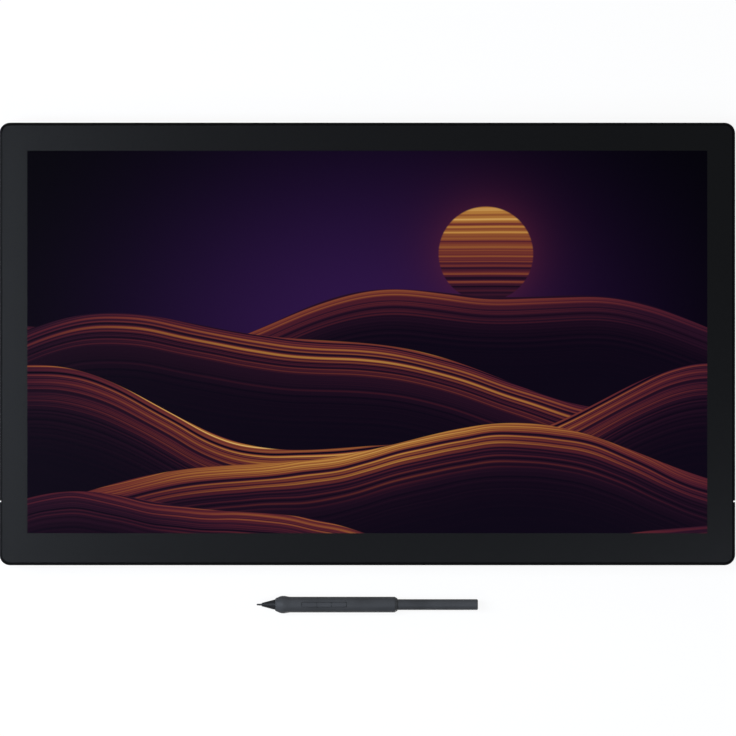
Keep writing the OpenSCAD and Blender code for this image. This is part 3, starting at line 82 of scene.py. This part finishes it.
NOISE_LOW = 0.3
NOISE_MIDDLE = 0.5
NOISE_HIGH = 0.7


class Shader:
    """Short calls that add nodes to one material and link them."""

    def __init__(self, name):
        self.material = bpy.data.materials.new(name)
        self.material.use_nodes = True
        self.tree = self.material.node_tree
        self.tree.nodes.clear()
        self.out = self.tree.nodes.new("ShaderNodeOutputMaterial")
        self.place = None

    def node(self, kind, **settings):
        made = self.tree.nodes.new(kind)
        for key, value in settings.items():
            setattr(made, key, value)
        return made

    def feed(self, socket, value):
        if isinstance(value, bpy.types.NodeSocket):
            self.tree.links.new(value, socket)
        else:
            socket.default_value = value

    def math(self, operation, first, second=0.0, clamp=False):
        made = self.node("ShaderNodeMath", operation=operation, use_clamp=clamp)
        self.feed(made.inputs[0], first)
        self.feed(made.inputs[1], second)
        return made.outputs[0]

    def add(self, first, second):
        return self.math("ADD", first, second)

    def sub(self, first, second):
        return self.math("SUBTRACT", first, second)

    def mul(self, first, second):
        return self.math("MULTIPLY", first, second)

    def square(self, value):
        return self.mul(value, value)

    def fall(self, value, rate):
        """One at zero, dying away as the value grows."""
        return self.math("EXPONENT", self.mul(value, -rate))

    def clamp(self, value):
        return self.math("ADD", value, 0.0, clamp=True)

    def position(self):
        if self.place is None:
            self.place = self.node("ShaderNodeTexCoord").outputs["Object"]
        return self.place

    def axes(self):
        """The place on the object, by axis name."""
        parts = self.node("ShaderNodeSeparateXYZ")
        self.feed(parts.inputs[0], self.position())
        return parts.outputs

    def noise(self, scale, detail, roughness=0.5):
        made = self.node("ShaderNodeTexNoise")
        self.feed(made.inputs["Vector"], self.position())
        made.inputs["Scale"].default_value = scale
        made.inputs["Detail"].default_value = detail
        made.inputs["Roughness"].default_value = roughness
        return made.outputs["Fac"]

    def noise_line(self, where, scale, detail):
        made = self.node("ShaderNodeTexNoise", noise_dimensions="1D")
        self.feed(made.inputs["W"], where)
        made.inputs["Scale"].default_value = scale
        made.inputs["Detail"].default_value = detail
        return made.outputs["Fac"]

    def ramp(self, value, stops):
        made = self.node("ShaderNodeValToRGB")
        band = made.color_ramp
        while len(band.elements) < len(stops):
            band.elements.new(1.0)
        for element, (place, colour) in zip(band.elements, stops):
            element.position = place
            element.color = rgba(colour)
        self.feed(made.inputs["Fac"], value)
        return made.outputs["Color"]

    def stretch(self, value, low, high, to_low, to_high):
        made = self.node("ShaderNodeMapRange")
        self.feed(made.inputs["Value"], value)
        made.inputs["From Min"].default_value = low
        made.inputs["From Max"].default_value = high
        made.inputs["To Min"].default_value = to_low
        made.inputs["To Max"].default_value = to_high
        return made.outputs["Result"]

    def even(self, noise, to_low=0.0, to_high=1.0):
        """The usual run of a noise, spread over the range asked for."""
        return self.stretch(noise, NOISE_LOW, NOISE_HIGH, to_low, to_high)

    def blend(self, share, first, second):
        made = self.node("ShaderNodeMix", data_type="RGBA")
        self.feed(made.inputs["Factor"], share)
        colours = [s for s in made.inputs if s.type == "RGBA"]
        self.feed(colours[0], first)
        self.feed(colours[1], second)
        return [s for s in made.outputs if s.type == "RGBA"][0]

    def bump(self, height, strength, distance):
        made = self.node("ShaderNodeBump")
        made.inputs["Strength"].default_value = strength
        made.inputs["Distance"].default_value = distance
        self.feed(made.inputs["Height"], height)
        return made.outputs["Normal"]

    def surface(self, **inputs):
        made = self.node("ShaderNodeBsdfPrincipled")
        for key, value in inputs.items():
            self.feed(made.inputs[key.replace("_", " ")], value)
        self.feed(self.out.inputs["Surface"], made.outputs["BSDF"])


def rgba(colour):
    return (*colour, 1.0)


def shade(colour, factor):
    return tuple(channel * factor for channel in colour)


# Finishes, with colours written as linear light

DRIFT_SCALE = 38.0
DRIFT_DETAIL = 3.0
SPECK_DETAIL = 2.0
SPECK_ROUGHNESS = 0.6
SPECK_STRENGTH = 0.35
SPECK_GLOSS = 0.05


def fine_finish(name, colour, rough, grain, depth, spread=0.18, specular=0.5, metal=0.0):
    """A moulded or painted surface: soft colour drift, fine grain (depth in microns), wear in the gloss."""
    s = Shader(name)
    drift = s.noise(DRIFT_SCALE, DRIFT_DETAIL)
    speck = s.noise(grain, SPECK_DETAIL, SPECK_ROUGHNESS)
    low = rgba(shade(colour, 1.0 - spread))
    high = rgba(shade(colour, 1.0 + spread))
    s.surface(
        Base_Color=s.blend(s.even(drift), low, high),
        Roughness=s.even(speck, rough - SPECK_GLOSS, rough + SPECK_GLOSS),
        Metallic=metal,
        Specular_IOR_Level=specular,
        Normal=s.bump(speck, SPECK_STRENGTH, depth * MICRON),
    )
    return s.material


ROLL_SCALE = 5200.0
ROLL_DETAIL = 3.0
ROLL_STRENGTH = 0.2
ROLL_DEPTH = 20.0 * MICRON
ROLL_GLOSS = 0.08
CLOUD_SCALE = 60.0
CLOUD_DETAIL = 3.0
CLOUD_DARK = 0.82
CLOUD_LIGHT = 1.1


def rolled_metal(name, colour, rough, along):
    """Sheet or turned metal with fine lines that run across the named axis."""
    s = Shader(name)
    line = s.noise_line(s.axes()[along], ROLL_SCALE, ROLL_DETAIL)
    cloud = s.noise(CLOUD_SCALE, CLOUD_DETAIL)
    low = rgba(shade(colour, CLOUD_DARK))
    high = rgba(shade(colour, CLOUD_LIGHT))
    s.surface(
        Base_Color=s.blend(s.even(cloud), low, high),
        Metallic=1.0,
        Roughness=s.even(line, rough - ROLL_GLOSS, rough + ROLL_GLOSS),
        Normal=s.bump(line, ROLL_STRENGTH, ROLL_DEPTH),
    )
    return s.material


INK = (0.0022, 0.0023, 0.0027)
HAZE_SCALE = 9.0
HAZE_DETAIL = 2.0
HAZE_DARK = 0.92
HAZE_LIGHT = 1.08
ETCH_SCALE = 2600.0
ETCH_DETAIL = 2.0
ETCH_ROUGHNESS = 0.6
ETCH_STRENGTH = 0.08
ETCH_DEPTH = 10.0 * MICRON
BORDER_SMOOTH = 0.27
BORDER_ROUGH = 0.33
BORDER_SPECULAR = 0.22


def border_ink():
    """Etched glass over dark ink."""
    s = Shader("border_ink")
    etch = s.noise(ETCH_SCALE, ETCH_DETAIL, ETCH_ROUGHNESS)
    haze = s.noise(HAZE_SCALE, HAZE_DETAIL)
    low = rgba(shade(INK, HAZE_DARK))
    high = rgba(shade(INK, HAZE_LIGHT))
    s.surface(
        Base_Color=s.blend(s.even(haze), low, high),
        Roughness=s.even(etch, BORDER_SMOOTH, BORDER_ROUGH),
        Specular_IOR_Level=BORDER_SPECULAR,
        Normal=s.bump(etch, ETCH_STRENGTH, ETCH_DEPTH),
    )
    return s.material


# Picture on the screen: lit dunes under an evening sky, measured in half-heights of the picture

SKY_EDGE = (0.0003, 0.0002, 0.0012)
SKY_GLOW = (0.0255, 0.0066, 0.058)
SKY_SPREAD = 0.55
SKY_FALL = 1.5
SUN_AT = (0.62, 0.46)
SUN_R = 0.25
SUN_EDGE = 160.0
SUN_LOW = 0.16
SUN_HIGH = 0.80
STREAK_SCALE = 42.0
STREAK_DETAIL = 3.0
STREAK_GAIN = 0.9
WANDER_SCALE = 9.0
WANDER_DETAIL = 1.0
WANDER_REACH = 0.02
HALO = (0.10, 0.014, 0.035)
HALO_FALL = 10.0
HALO_SHARE = 0.30
DUNE_DARK = (0.0030, 0.0012, 0.0066)
DUNE_EDGE = 260.0
DUNES = [
    {"base": 0.14, "waves": [(0.15, 1.7, 0.6), (0.05, 4.1, 2.0)], "depth": 0.12, "gain": 0.62},
    {"base": -0.08, "waves": [(0.21, 1.35, 2.9), (0.06, 3.3, 0.4)], "depth": 0.16, "gain": 0.86},
    {"base": -0.36, "waves": [(0.23, 1.55, 4.7), (0.05, 3.9, 1.2)], "depth": 0.18, "gain": 1.0},
    {"base": -0.66, "waves": [(0.19, 1.25, 0.9), (0.06, 3.1, 5.1)], "depth": 0.16, "gain": 0.92},
    {"base": -0.96, "waves": [(0.16, 1.6, 3.6), (0.04, 4.3, 2.4)], "depth": 0.14, "gain": 0.72},
]
SIDE_FALL = 0.22
LANE_SCALE = 5.0
LANE_DETAIL = 2.0
LANE_REACH = 0.12
LANE_STEP = 3.7
FINE_SCALE = 62.0
FINE_DETAIL = 3.0
FINE_GAIN = 2.0
BROAD_SCALE = 13.0
BROAD_DETAIL = 1.0
BROAD_GAIN = 0.8
FADE_POWER = 1.6
FADE_RATE = 0.55
FADE_SHARE = 0.85
LIT_LEVEL = 0.64
LIT_LINES = 0.95
DARK_LINES = 0.05
WARM = [
    (0.0, (0.0032, 0.0011, 0.0062)),
    (0.22, (0.022, 0.005, 0.017)),
    (0.38, (0.080, 0.012, 0.022)),
    (0.52, (0.165, 0.033, 0.022)),
    (0.66, (0.290, 0.098, 0.027)),
    (0.82, (0.470, 0.215, 0.046)),
    (1.0, (0.680, 0.430, 0.150)),
]
SCREEN_BLACK = (0.0004, 0.0004, 0.0005)
SCREEN_ROUGH = 0.34
SCREEN_SPECULAR = 0.02


def sky(s, x, y):
    """Violet glow that falls off to a dark edge."""
    reach = s.add(s.mul(s.square(x), SKY_SPREAD), s.square(y))
    return s.blend(s.fall(reach, SKY_FALL), rgba(SKY_EDGE), rgba(SKY_GLOW))


def with_sun(s, colour, x, y):
    """The sun with level streaks and a soft halo, over what is drawn so far."""
    sun_x = s.sub(x, SUN_AT[0])
    sun_y = s.sub(y, SUN_AT[1])
    far = s.math("SQRT", s.add(s.square(sun_x), s.square(sun_y)))
    disc = s.clamp(s.mul(s.sub(SUN_R, far), SUN_EDGE))
    wander = s.mul(s.noise(WANDER_SCALE, WANDER_DETAIL), WANDER_REACH)
    streak = s.noise_line(s.add(y, wander), STREAK_SCALE, STREAK_DETAIL)
    rise = s.stretch(sun_y, -SUN_R, SUN_R, SUN_LOW, SUN_HIGH)
    level = s.add(rise, s.mul(s.sub(streak, NOISE_MIDDLE), STREAK_GAIN))
    halo = s.fall(s.math("MAXIMUM", s.sub(far, SUN_R), 0.0), HALO_FALL)
    colour = s.blend(s.mul(halo, HALO_SHARE), colour, rgba(HALO))
    return s.blend(disc, colour, s.ramp(s.clamp(level), WARM))


def with_dune(s, colour, x, y, index, dune):
    """One dune, lit along its crest, over what is drawn so far."""
    crest = dune["base"]
    for height, pace, start in dune["waves"]:
        wave = s.math("SINE", s.add(s.mul(x, pace), start))
        crest = s.add(s.mul(wave, height), crest)
    under = s.sub(crest, y)
    depth = s.math("MAXIMUM", under, 0.0)
    mask = s.clamp(s.mul(under, DUNE_EDGE))
    drift = s.mul(s.sub(s.noise(LANE_SCALE + index, LANE_DETAIL), NOISE_MIDDLE), LANE_REACH)
    lane = s.add(s.add(under, drift), index * LANE_STEP)
    fine = s.sub(s.noise_line(lane, FINE_SCALE, FINE_DETAIL), NOISE_MIDDLE)
    broad = s.sub(s.noise_line(lane, BROAD_SCALE, BROAD_DETAIL), NOISE_MIDDLE)
    fade = s.fall(s.math("POWER", s.mul(depth, 1.0 / dune["depth"]), FADE_POWER), FADE_RATE)
    lit = s.mul(s.mul(fade, s.fall(s.square(x), SIDE_FALL)), dune["gain"])
    lines = s.add(s.mul(fine, FINE_GAIN), s.mul(broad, BROAD_GAIN))
    level = s.add(s.mul(lit, LIT_LEVEL), s.mul(lines, s.add(s.mul(lit, LIT_LINES), DARK_LINES)))
    body = s.ramp(s.clamp(level), WARM)
    body = s.blend(s.mul(s.sub(1.0, fade), FADE_SHARE), body, rgba(DUNE_DARK))
    return s.blend(mask, colour, body)


def picture(name, centre):
    """The picture as light from the active area, whose centre is given; dunes come from far to near."""
    s = Shader(name)
    half = ACTIVE_D * MM / 2
    axes = s.axes()
    x = s.mul(s.sub(axes["X"], centre[0]), 1.0 / half)
    y = s.mul(s.sub(axes["Y"], centre[1]), 1.0 / half)
    colour = with_sun(s, sky(s, x, y), x, y)
    for index, dune in enumerate(DUNES):
        colour = with_dune(s, colour, x, y, index, dune)
    s.surface(
        Base_Color=rgba(SCREEN_BLACK),
        Roughness=SCREEN_ROUGH,
        Specular_IOR_Level=SCREEN_SPECULAR,
        Emission_Color=colour,
        Emission_Strength=1.0,
    )
    return s.material


# Glass front

CORNER_STEPS = 12
JOIN_DISTANCE = 1e-7


def new_object(name, mesh):
    made = bpy.data.objects.new(name, mesh)
    bpy.context.scene.collection.objects.link(made)
    return made


def rounded_loop(width, depth, radius, steps):
    """Points of a rounded rectangle about the origin, in order."""
    points = []
    for quarter in range(4):
        sign_x = 1 if quarter in (0, 3) else -1
        sign_y = 1 if quarter in (0, 1) else -1
        middle = (sign_x * (width / 2 - radius), sign_y * (depth / 2 - radius))
        for step in range(steps + 1):
            angle = math.radians(90.0 * quarter + 90.0 * step / steps)
            points.append((middle[0] + radius * math.cos(angle), middle[1] + radius * math.sin(angle)))
    return points


def loft(mesh_edit, loops):
    """Joins loops of equal length with quads."""
    for lower, upper in zip(loops, loops[1:]):
        count = len(lower)
        for i in range(count):
            j = (i + 1) % count
            mesh_edit.faces.new((lower[i], lower[j], upper[j], upper[i]))


def glass_front():
    """Cover glass with a chamfered edge; the picture area is its own field of faces."""
    low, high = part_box("cover_glass")
    centre = ((low[0] + high[0]) / 2, (low[1] + high[1]) / 2)
    width = high[0] - low[0]
    depth = high[1] - low[1]
    edit = bmesh.new()
    chamfer = GLASS_CHAMFER * MM
    radius = GLASS_R * MM
    levels = [(0.0, low[2]), (0.0, high[2] - chamfer), (chamfer, high[2])]
    loops = []
    for inset, z in levels:
        points = rounded_loop(width - 2 * inset, depth - 2 * inset, radius - inset, CORNER_STEPS)
        loops.append([edit.verts.new((centre[0] + px, centre[1] + py, z)) for px, py in points])
    loft(edit, loops)
    edit.faces.new(list(reversed(loops[0])))
    half_w = ACTIVE_W * MM / 2
    half_d = ACTIVE_D * MM / 2
    active_y = centre[1] + ACTIVE_SHIFT * MM
    inner = []
    for vert in loops[-1]:
        px = min(max(vert.co.x, centre[0] - half_w), centre[0] + half_w)
        py = min(max(vert.co.y, active_y - half_d), active_y + half_d)
        inner.append(edit.verts.new((px, py, high[2])))
    loft(edit, [loops[-1], inner])
    lit_face = edit.faces.new(inner)
    lit_face.material_index = 1
    bmesh.ops.remove_doubles(edit, verts=edit.verts, dist=JOIN_DISTANCE)
    bmesh.ops.recalc_face_normals(edit, faces=edit.faces)
    mesh = bpy.data.meshes.new("glass_front")
    edit.to_mesh(mesh)
    edit.free()
    made = new_object("glass_front", mesh)
    mesh.materials.append(border_ink())
    mesh.materials.append(picture("screen_picture", (centre[0], active_y)))
    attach(made, "tablet")
    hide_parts("cover_glass")
    return (centre[0], active_y)


picture_centre = glass_front()

# Materials of the carried-over nodes, by slot

MOULDED = {
    "frame_metal": dict(colour=(0.0014, 0.00145, 0.0017), rough=0.32, grain=3400, depth=10, specular=0.06),
    "cover_plastic": dict(colour=(0.016, 0.0163, 0.0175), rough=0.55, grain=2200, depth=60, specular=0.4),
    "leg_plastic": dict(colour=(0.022, 0.0224, 0.024), rough=0.5, grain=2600, depth=50, specular=0.4),
    "key_plastic": dict(colour=(0.01, 0.0102, 0.0112), rough=0.34, grain=3200, depth=20),
    "black_rubber": dict(colour=(0.0085, 0.0085, 0.009), rough=0.78, grain=1500, depth=50, specular=0.3),
    "pen_soft_grip": dict(colour=(0.0425, 0.043, 0.045), rough=0.48, grain=3600, depth=20, specular=0.08),
    "pen_shaft_plastic": dict(
        colour=(0.0435, 0.044, 0.0458), rough=0.42, grain=3600, depth=10, specular=0.08
    ),
    "pen_key_plastic": dict(colour=(0.0405, 0.041, 0.0435), rough=0.42, grain=3600, depth=10, specular=0.1),
    "pen_black": dict(colour=(0.014, 0.014, 0.0145), rough=0.45, grain=3600, depth=10, specular=0.1),
    "pen_nib_plastic": dict(colour=(0.012, 0.012, 0.012), rough=0.5, grain=5200, depth=10),
    "black_plastic": dict(colour=(0.008, 0.008, 0.0085), rough=0.5, grain=2000, depth=40),
    "chip_black": dict(colour=(0.01, 0.01, 0.011), rough=0.6, grain=4200, depth=20),
    "screw_black": dict(colour=(0.02, 0.02, 0.022), rough=0.32, grain=2500, depth=10, metal=1.0),
    "circuit_board": dict(colour=(0.006, 0.06, 0.03), rough=0.4, grain=900, depth=20),
    "white_film": dict(colour=(0.75, 0.75, 0.73), rough=0.5, grain=1800, depth=10, spread=0.05),
    "flex_film": dict(colour=(0.42, 0.17, 0.02), rough=0.3, grain=1200, depth=10),
    "clear_adhesive": dict(colour=(0.5, 0.52, 0.52), rough=0.2, grain=800, depth=10),
    "clear_guide": dict(colour=(0.7, 0.74, 0.75), rough=0.15, grain=500, depth=10),
    "socket_steel": dict(colour=(0.40, 0.40, 0.40), rough=0.34, grain=4200, depth=4, metal=1.0),
}
ROLLED = {
    "shield_metal": dict(colour=(0.55, 0.56, 0.57), rough=0.3, along="X"),
    "chassis_metal": dict(colour=(0.5, 0.51, 0.52), rough=0.38, along="Y"),
    "zinc_steel": dict(colour=(0.17, 0.17, 0.165), rough=0.42, along="Z"),
    "copper_pipe": dict(colour=(0.72, 0.3, 0.16), rough=0.3, along="Y"),
    "insert_brass": dict(colour=(0.30, 0.22, 0.10), rough=0.42, along="X"),
}
finishes = {slot: fine_finish(slot, **look) for slot, look in MOULDED.items()}
finishes.update({slot: rolled_metal(slot, **look) for slot, look in ROLLED.items()})
finishes["display_cell"] = picture("display_cell_picture", picture_centre)
finishes["cover_glass"] = border_ink()
for part in frame["record"]["subparts"]:
    carried = nodes[part["node"]]
    carried.data.materials.clear()
    carried.data.materials.append(finishes[part["material_slot"]])

# Softened edges of the nodes that show, with the widths of their rounds in millimetres

SOFT_EDGES = {
    "left_leg": 0.4,
    "right_leg": 0.4,
    "left_leg_tip": 0.2,
    "right_leg_tip": 0.2,
    "rubber_feet": 0.4,
    "power_button": 0.2,
    "pen_grip": 0.2,
    "pen_shaft": 0.25,
    "pen_nose": 0.1,
    "pen_button_1": 0.12,
    "pen_button_2": 0.12,
    "pen_button_3": 0.12,
    "cover_screws": 0.06,
    "hdmi_socket": 0.08,
    "usb_c_sockets": 0.06,
}
KEY_EDGE = 0.25
KEYS_PER_SIDE = 4
for side in ("left", "right"):
    for number in range(1, KEYS_PER_SIDE + 1):
        SOFT_EDGES[f"{side}_key_{number}"] = KEY_EDGE
COVER_BREAK = 0.8
WELD_DISTANCE = 2e-6
SPOT = 1e-5
FLAT_ANGLE = math.radians(0.4)
BREAK_ANGLE = math.radians(30.0)
SHARP_ANGLE = math.radians(36.0)
BEVEL_STEPS = 3
SHADE_WEIGHT = 100
DOWN_LIMIT = -0.99
SLOPE_LIMITS = (-0.95, -0.3)


def modifier(piece, name, kind, **settings):
    made = piece.modifiers.new(name, kind)
    for key, value in settings.items():
        setattr(made, key, value)


def start_soft(piece):
    """One skin with whole flat faces, ready for a bevel."""
    modifier(piece, "weld", "WELD", merge_threshold=WELD_DISTANCE)
    modifier(piece, "flat", "DECIMATE", decimate_type="DISSOLVE", angle_limit=FLAT_ANGLE)


def round_edges(piece, width, **limit):
    modifier(
        piece, "round", "BEVEL", width=width * MM, segments=BEVEL_STEPS, use_clamp_overlap=False, **limit
    )


def end_soft(piece):
    """Smooth shading on the rounded edges, flat shading beside them."""
    modifier(piece, "split", "EDGE_SPLIT", split_angle=SHARP_ANGLE)
    modifier(piece, "shade", "WEIGHTED_NORMAL", weight=SHADE_WEIGHT)


def faces_down(normal):
    return normal.z < DOWN_LIMIT


def faces_out(normal):
    return SLOPE_LIMITS[0] < normal.z < SLOPE_LIMITS[1]


def weigh_edges(piece, level):
    """Bevel weight for the edges at one height where the flat back meets the slope."""
    mesh = piece.data
    points = mesh.vertices

    def spots(pair):
        return frozenset(tuple(round(value / SPOT) for value in points[index].co) for index in pair)

    met = {}
    for polygon in mesh.polygons:
        for pair in polygon.edge_keys:
            if all(abs(points[index].co.z - level) < WELD_DISTANCE for index in pair):
                met.setdefault(spots(pair), []).append(polygon.normal.copy())
    weights = mesh.attributes.new("bevel_weight_edge", "FLOAT", "EDGE")
    for edge in mesh.edges:
        normals = met.get(spots(edge.vertices), [])
        if any(map(faces_down, normals)) and any(map(faces_out, normals)):
            weights.data[edge.index].value = 1.0


def soft_cover():
    """Rear cover: a broad round where the flat back turns into the slope."""
    piece = nodes["rear_cover"]
    weigh_edges(piece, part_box("rear_cover")[0][2])
    modifier(piece, "weld", "WELD", merge_threshold=WELD_DISTANCE)
    round_edges(piece, COVER_BREAK, limit_method="WEIGHT")
    end_soft(piece)


for soft_node, soft_width in SOFT_EDGES.items():
    start_soft(nodes[soft_node])
    round_edges(nodes[soft_node], soft_width, limit_method="ANGLE", angle_limit=BREAK_ANGLE)
    end_soft(nodes[soft_node])
soft_cover()

# Floor, world, lights and camera

FLOOR_SEEN = (0.86, 0.86, 0.86)
FLOOR_GLOW = 0.9
FLOOR_REACH = 30.0
FLOOR_LEVEL = -0.0002
SKY_LIGHT = 0.15
GROUND_LIGHT = 0.1
WHITE = 1.0
NEUTRAL = (1.0, 1.0, 1.0)
COOL = (0.80, 0.88, 1.0)
LAMPS = {
    "left_box": dict(
        place=(-0.88, 0.02, 1.05), aim=(-0.12, 0.0, 0.0), size=(0.5, 1.0), power=20.8, colour=COOL
    ),
    "front_box": dict(
        place=(0.08, -0.37, 0.62), aim=(0.0, -0.16, 0.0), size=(1.2, 0.12), power=2.4, colour=COOL
    ),
    "back_box": dict(place=(0.5, 2.3, 1.3), aim=(0.0, 0.1, 0.0), size=(1.6, 1.0), power=14.0),
    "rim_box": dict(
        place=(-2.6, 0.0, 0.25), aim=(0.0, 0.0, 0.02), size=(1.6, 0.5), power=24.0, colour=COOL
    ),
    "right_box": dict(place=(2.3, 0.2, 1.3), aim=(0.0, 0.0, 0.0), size=(1.0, 1.6), power=10.0),
    "low_left_box": dict(place=(-0.9, 0.2, -1.6), aim=(0.0, 0.0, 0.0), size=(1.0, 0.8), power=17.0),
    "low_front_box": dict(place=(0.6, -1.1, -1.4), aim=(0.0, 0.0, 0.0), size=(1.2, 0.6), power=13.0),
}
CLIP_NEAR = 0.01
CLIP_FAR = 200.0


def studio_floor():
    """Pale floor for the camera, seen from above; other rays pass to the pale lower half of the world."""
    s = Shader("studio_floor")
    matte = s.node("ShaderNodeBsdfDiffuse")
    matte.inputs["Color"].default_value = rgba(FLOOR_SEEN)
    white = s.node("ShaderNodeEmission")
    white.inputs["Strength"].default_value = WHITE
    mixed = s.node("ShaderNodeMixShader")
    mixed.inputs[0].default_value = FLOOR_GLOW
    s.feed(mixed.inputs[1], matte.outputs[0])
    s.feed(mixed.inputs[2], white.outputs[0])
    through = s.node("ShaderNodeBsdfTransparent")
    above = s.sub(1.0, s.node("ShaderNodeNewGeometry").outputs["Backfacing"])
    seen = s.mul(s.node("ShaderNodeLightPath").outputs["Is Camera Ray"], above)
    sided = s.node("ShaderNodeMixShader")
    s.feed(sided.inputs[0], seen)
    s.feed(sided.inputs[1], through.outputs[0])
    s.feed(sided.inputs[2], mixed.outputs[0])
    s.feed(s.out.inputs["Surface"], sided.outputs[0])
    mesh = bpy.data.meshes.new("floor")
    signs = [(-1, -1), (1, -1), (1, 1), (-1, 1)]
    corners = [(sign_x * FLOOR_REACH, sign_y * FLOOR_REACH, FLOOR_LEVEL) for sign_x, sign_y in signs]
    mesh.from_pydata(corners, [], [(0, 1, 2, 3)])
    mesh.materials.append(s.material)
    new_object("floor", mesh)


def studio_world():
    """Soft light all round; the camera sees white, and mirrored and refracted rays see a white floor."""
    world = bpy.data.worlds.new("studio")
    bpy.context.scene.world = world
    world.use_nodes = True
    tree = world.node_tree
    tree.nodes.clear()

    def math_node(operation, first, second):
        made = tree.nodes.new("ShaderNodeMath")
        made.operation = operation
        for socket, value in zip(made.inputs, (first, second)):
            if isinstance(value, bpy.types.NodeSocket):
                tree.links.new(value, socket)
            else:
                socket.default_value = value
        return made.outputs[0]

    out = tree.nodes.new("ShaderNodeOutputWorld")
    light = tree.nodes.new("ShaderNodeBackground")
    light.inputs["Color"].default_value = rgba(NEUTRAL)
    path = tree.nodes.new("ShaderNodeLightPath")
    parts = tree.nodes.new("ShaderNodeSeparateXYZ")
    tree.links.new(tree.nodes.new("ShaderNodeTexCoord").outputs["Generated"], parts.inputs[0])
    below = math_node("LESS_THAN", parts.outputs["Z"], 0.0)
    mirror = math_node("MAXIMUM", path.outputs["Is Glossy Ray"], path.outputs["Is Transmission Ray"])
    ground = math_node("ADD", math_node("MULTIPLY", mirror, WHITE - GROUND_LIGHT), GROUND_LIGHT)
    lift = math_node("MULTIPLY", below, math_node("SUBTRACT", ground, SKY_LIGHT))
    soft = math_node("ADD", lift, SKY_LIGHT)
    strength = math_node("MAXIMUM", soft, path.outputs["Is Camera Ray"])
    tree.links.new(strength, light.inputs["Strength"])
    tree.links.new(light.outputs[0], out.inputs["Surface"])


def softbox(name, place, aim, size, power, colour=NEUTRAL):
    light = bpy.data.lights.new(name, "AREA")
    light.shape = "RECTANGLE"
    light.size = size[0]
    light.size_y = size[1]
    light.energy = power
    light.color = colour
    made = new_object(name, light)
    made.location = place
    made.rotation_euler = (Vector(aim) - Vector(place)).to_track_quat("-Z", "Y").to_euler()


def photo_camera():
    """Camera that looks straight down, as far off as its lens needs for the width it takes in."""
    lens = bpy.data.cameras.new("photo_camera")
    lens.type = "PERSP"
    lens.lens = PHOTO_LENS
    lens.sensor_width = SENSOR
    lens.clip_start = CLIP_NEAR
    lens.clip_end = CLIP_FAR
    made = new_object("photo_camera", lens)
    top = cad_box[1][2]
    height = top + PHOTO_SPAN * MM * PHOTO_LENS / SENSOR
    made.location = (PHOTO_AIM[0] * MM, PHOTO_AIM[1] * MM, height)
    made.rotation_euler = (0.0, 0.0, 0.0)
    bpy.context.scene.camera = made


studio_floor()
studio_world()
for lamp_name, lamp in LAMPS.items():
    softbox(lamp_name, **lamp)
photo_camera()

bpy.context.scene.view_settings.view_transform = "Standard"
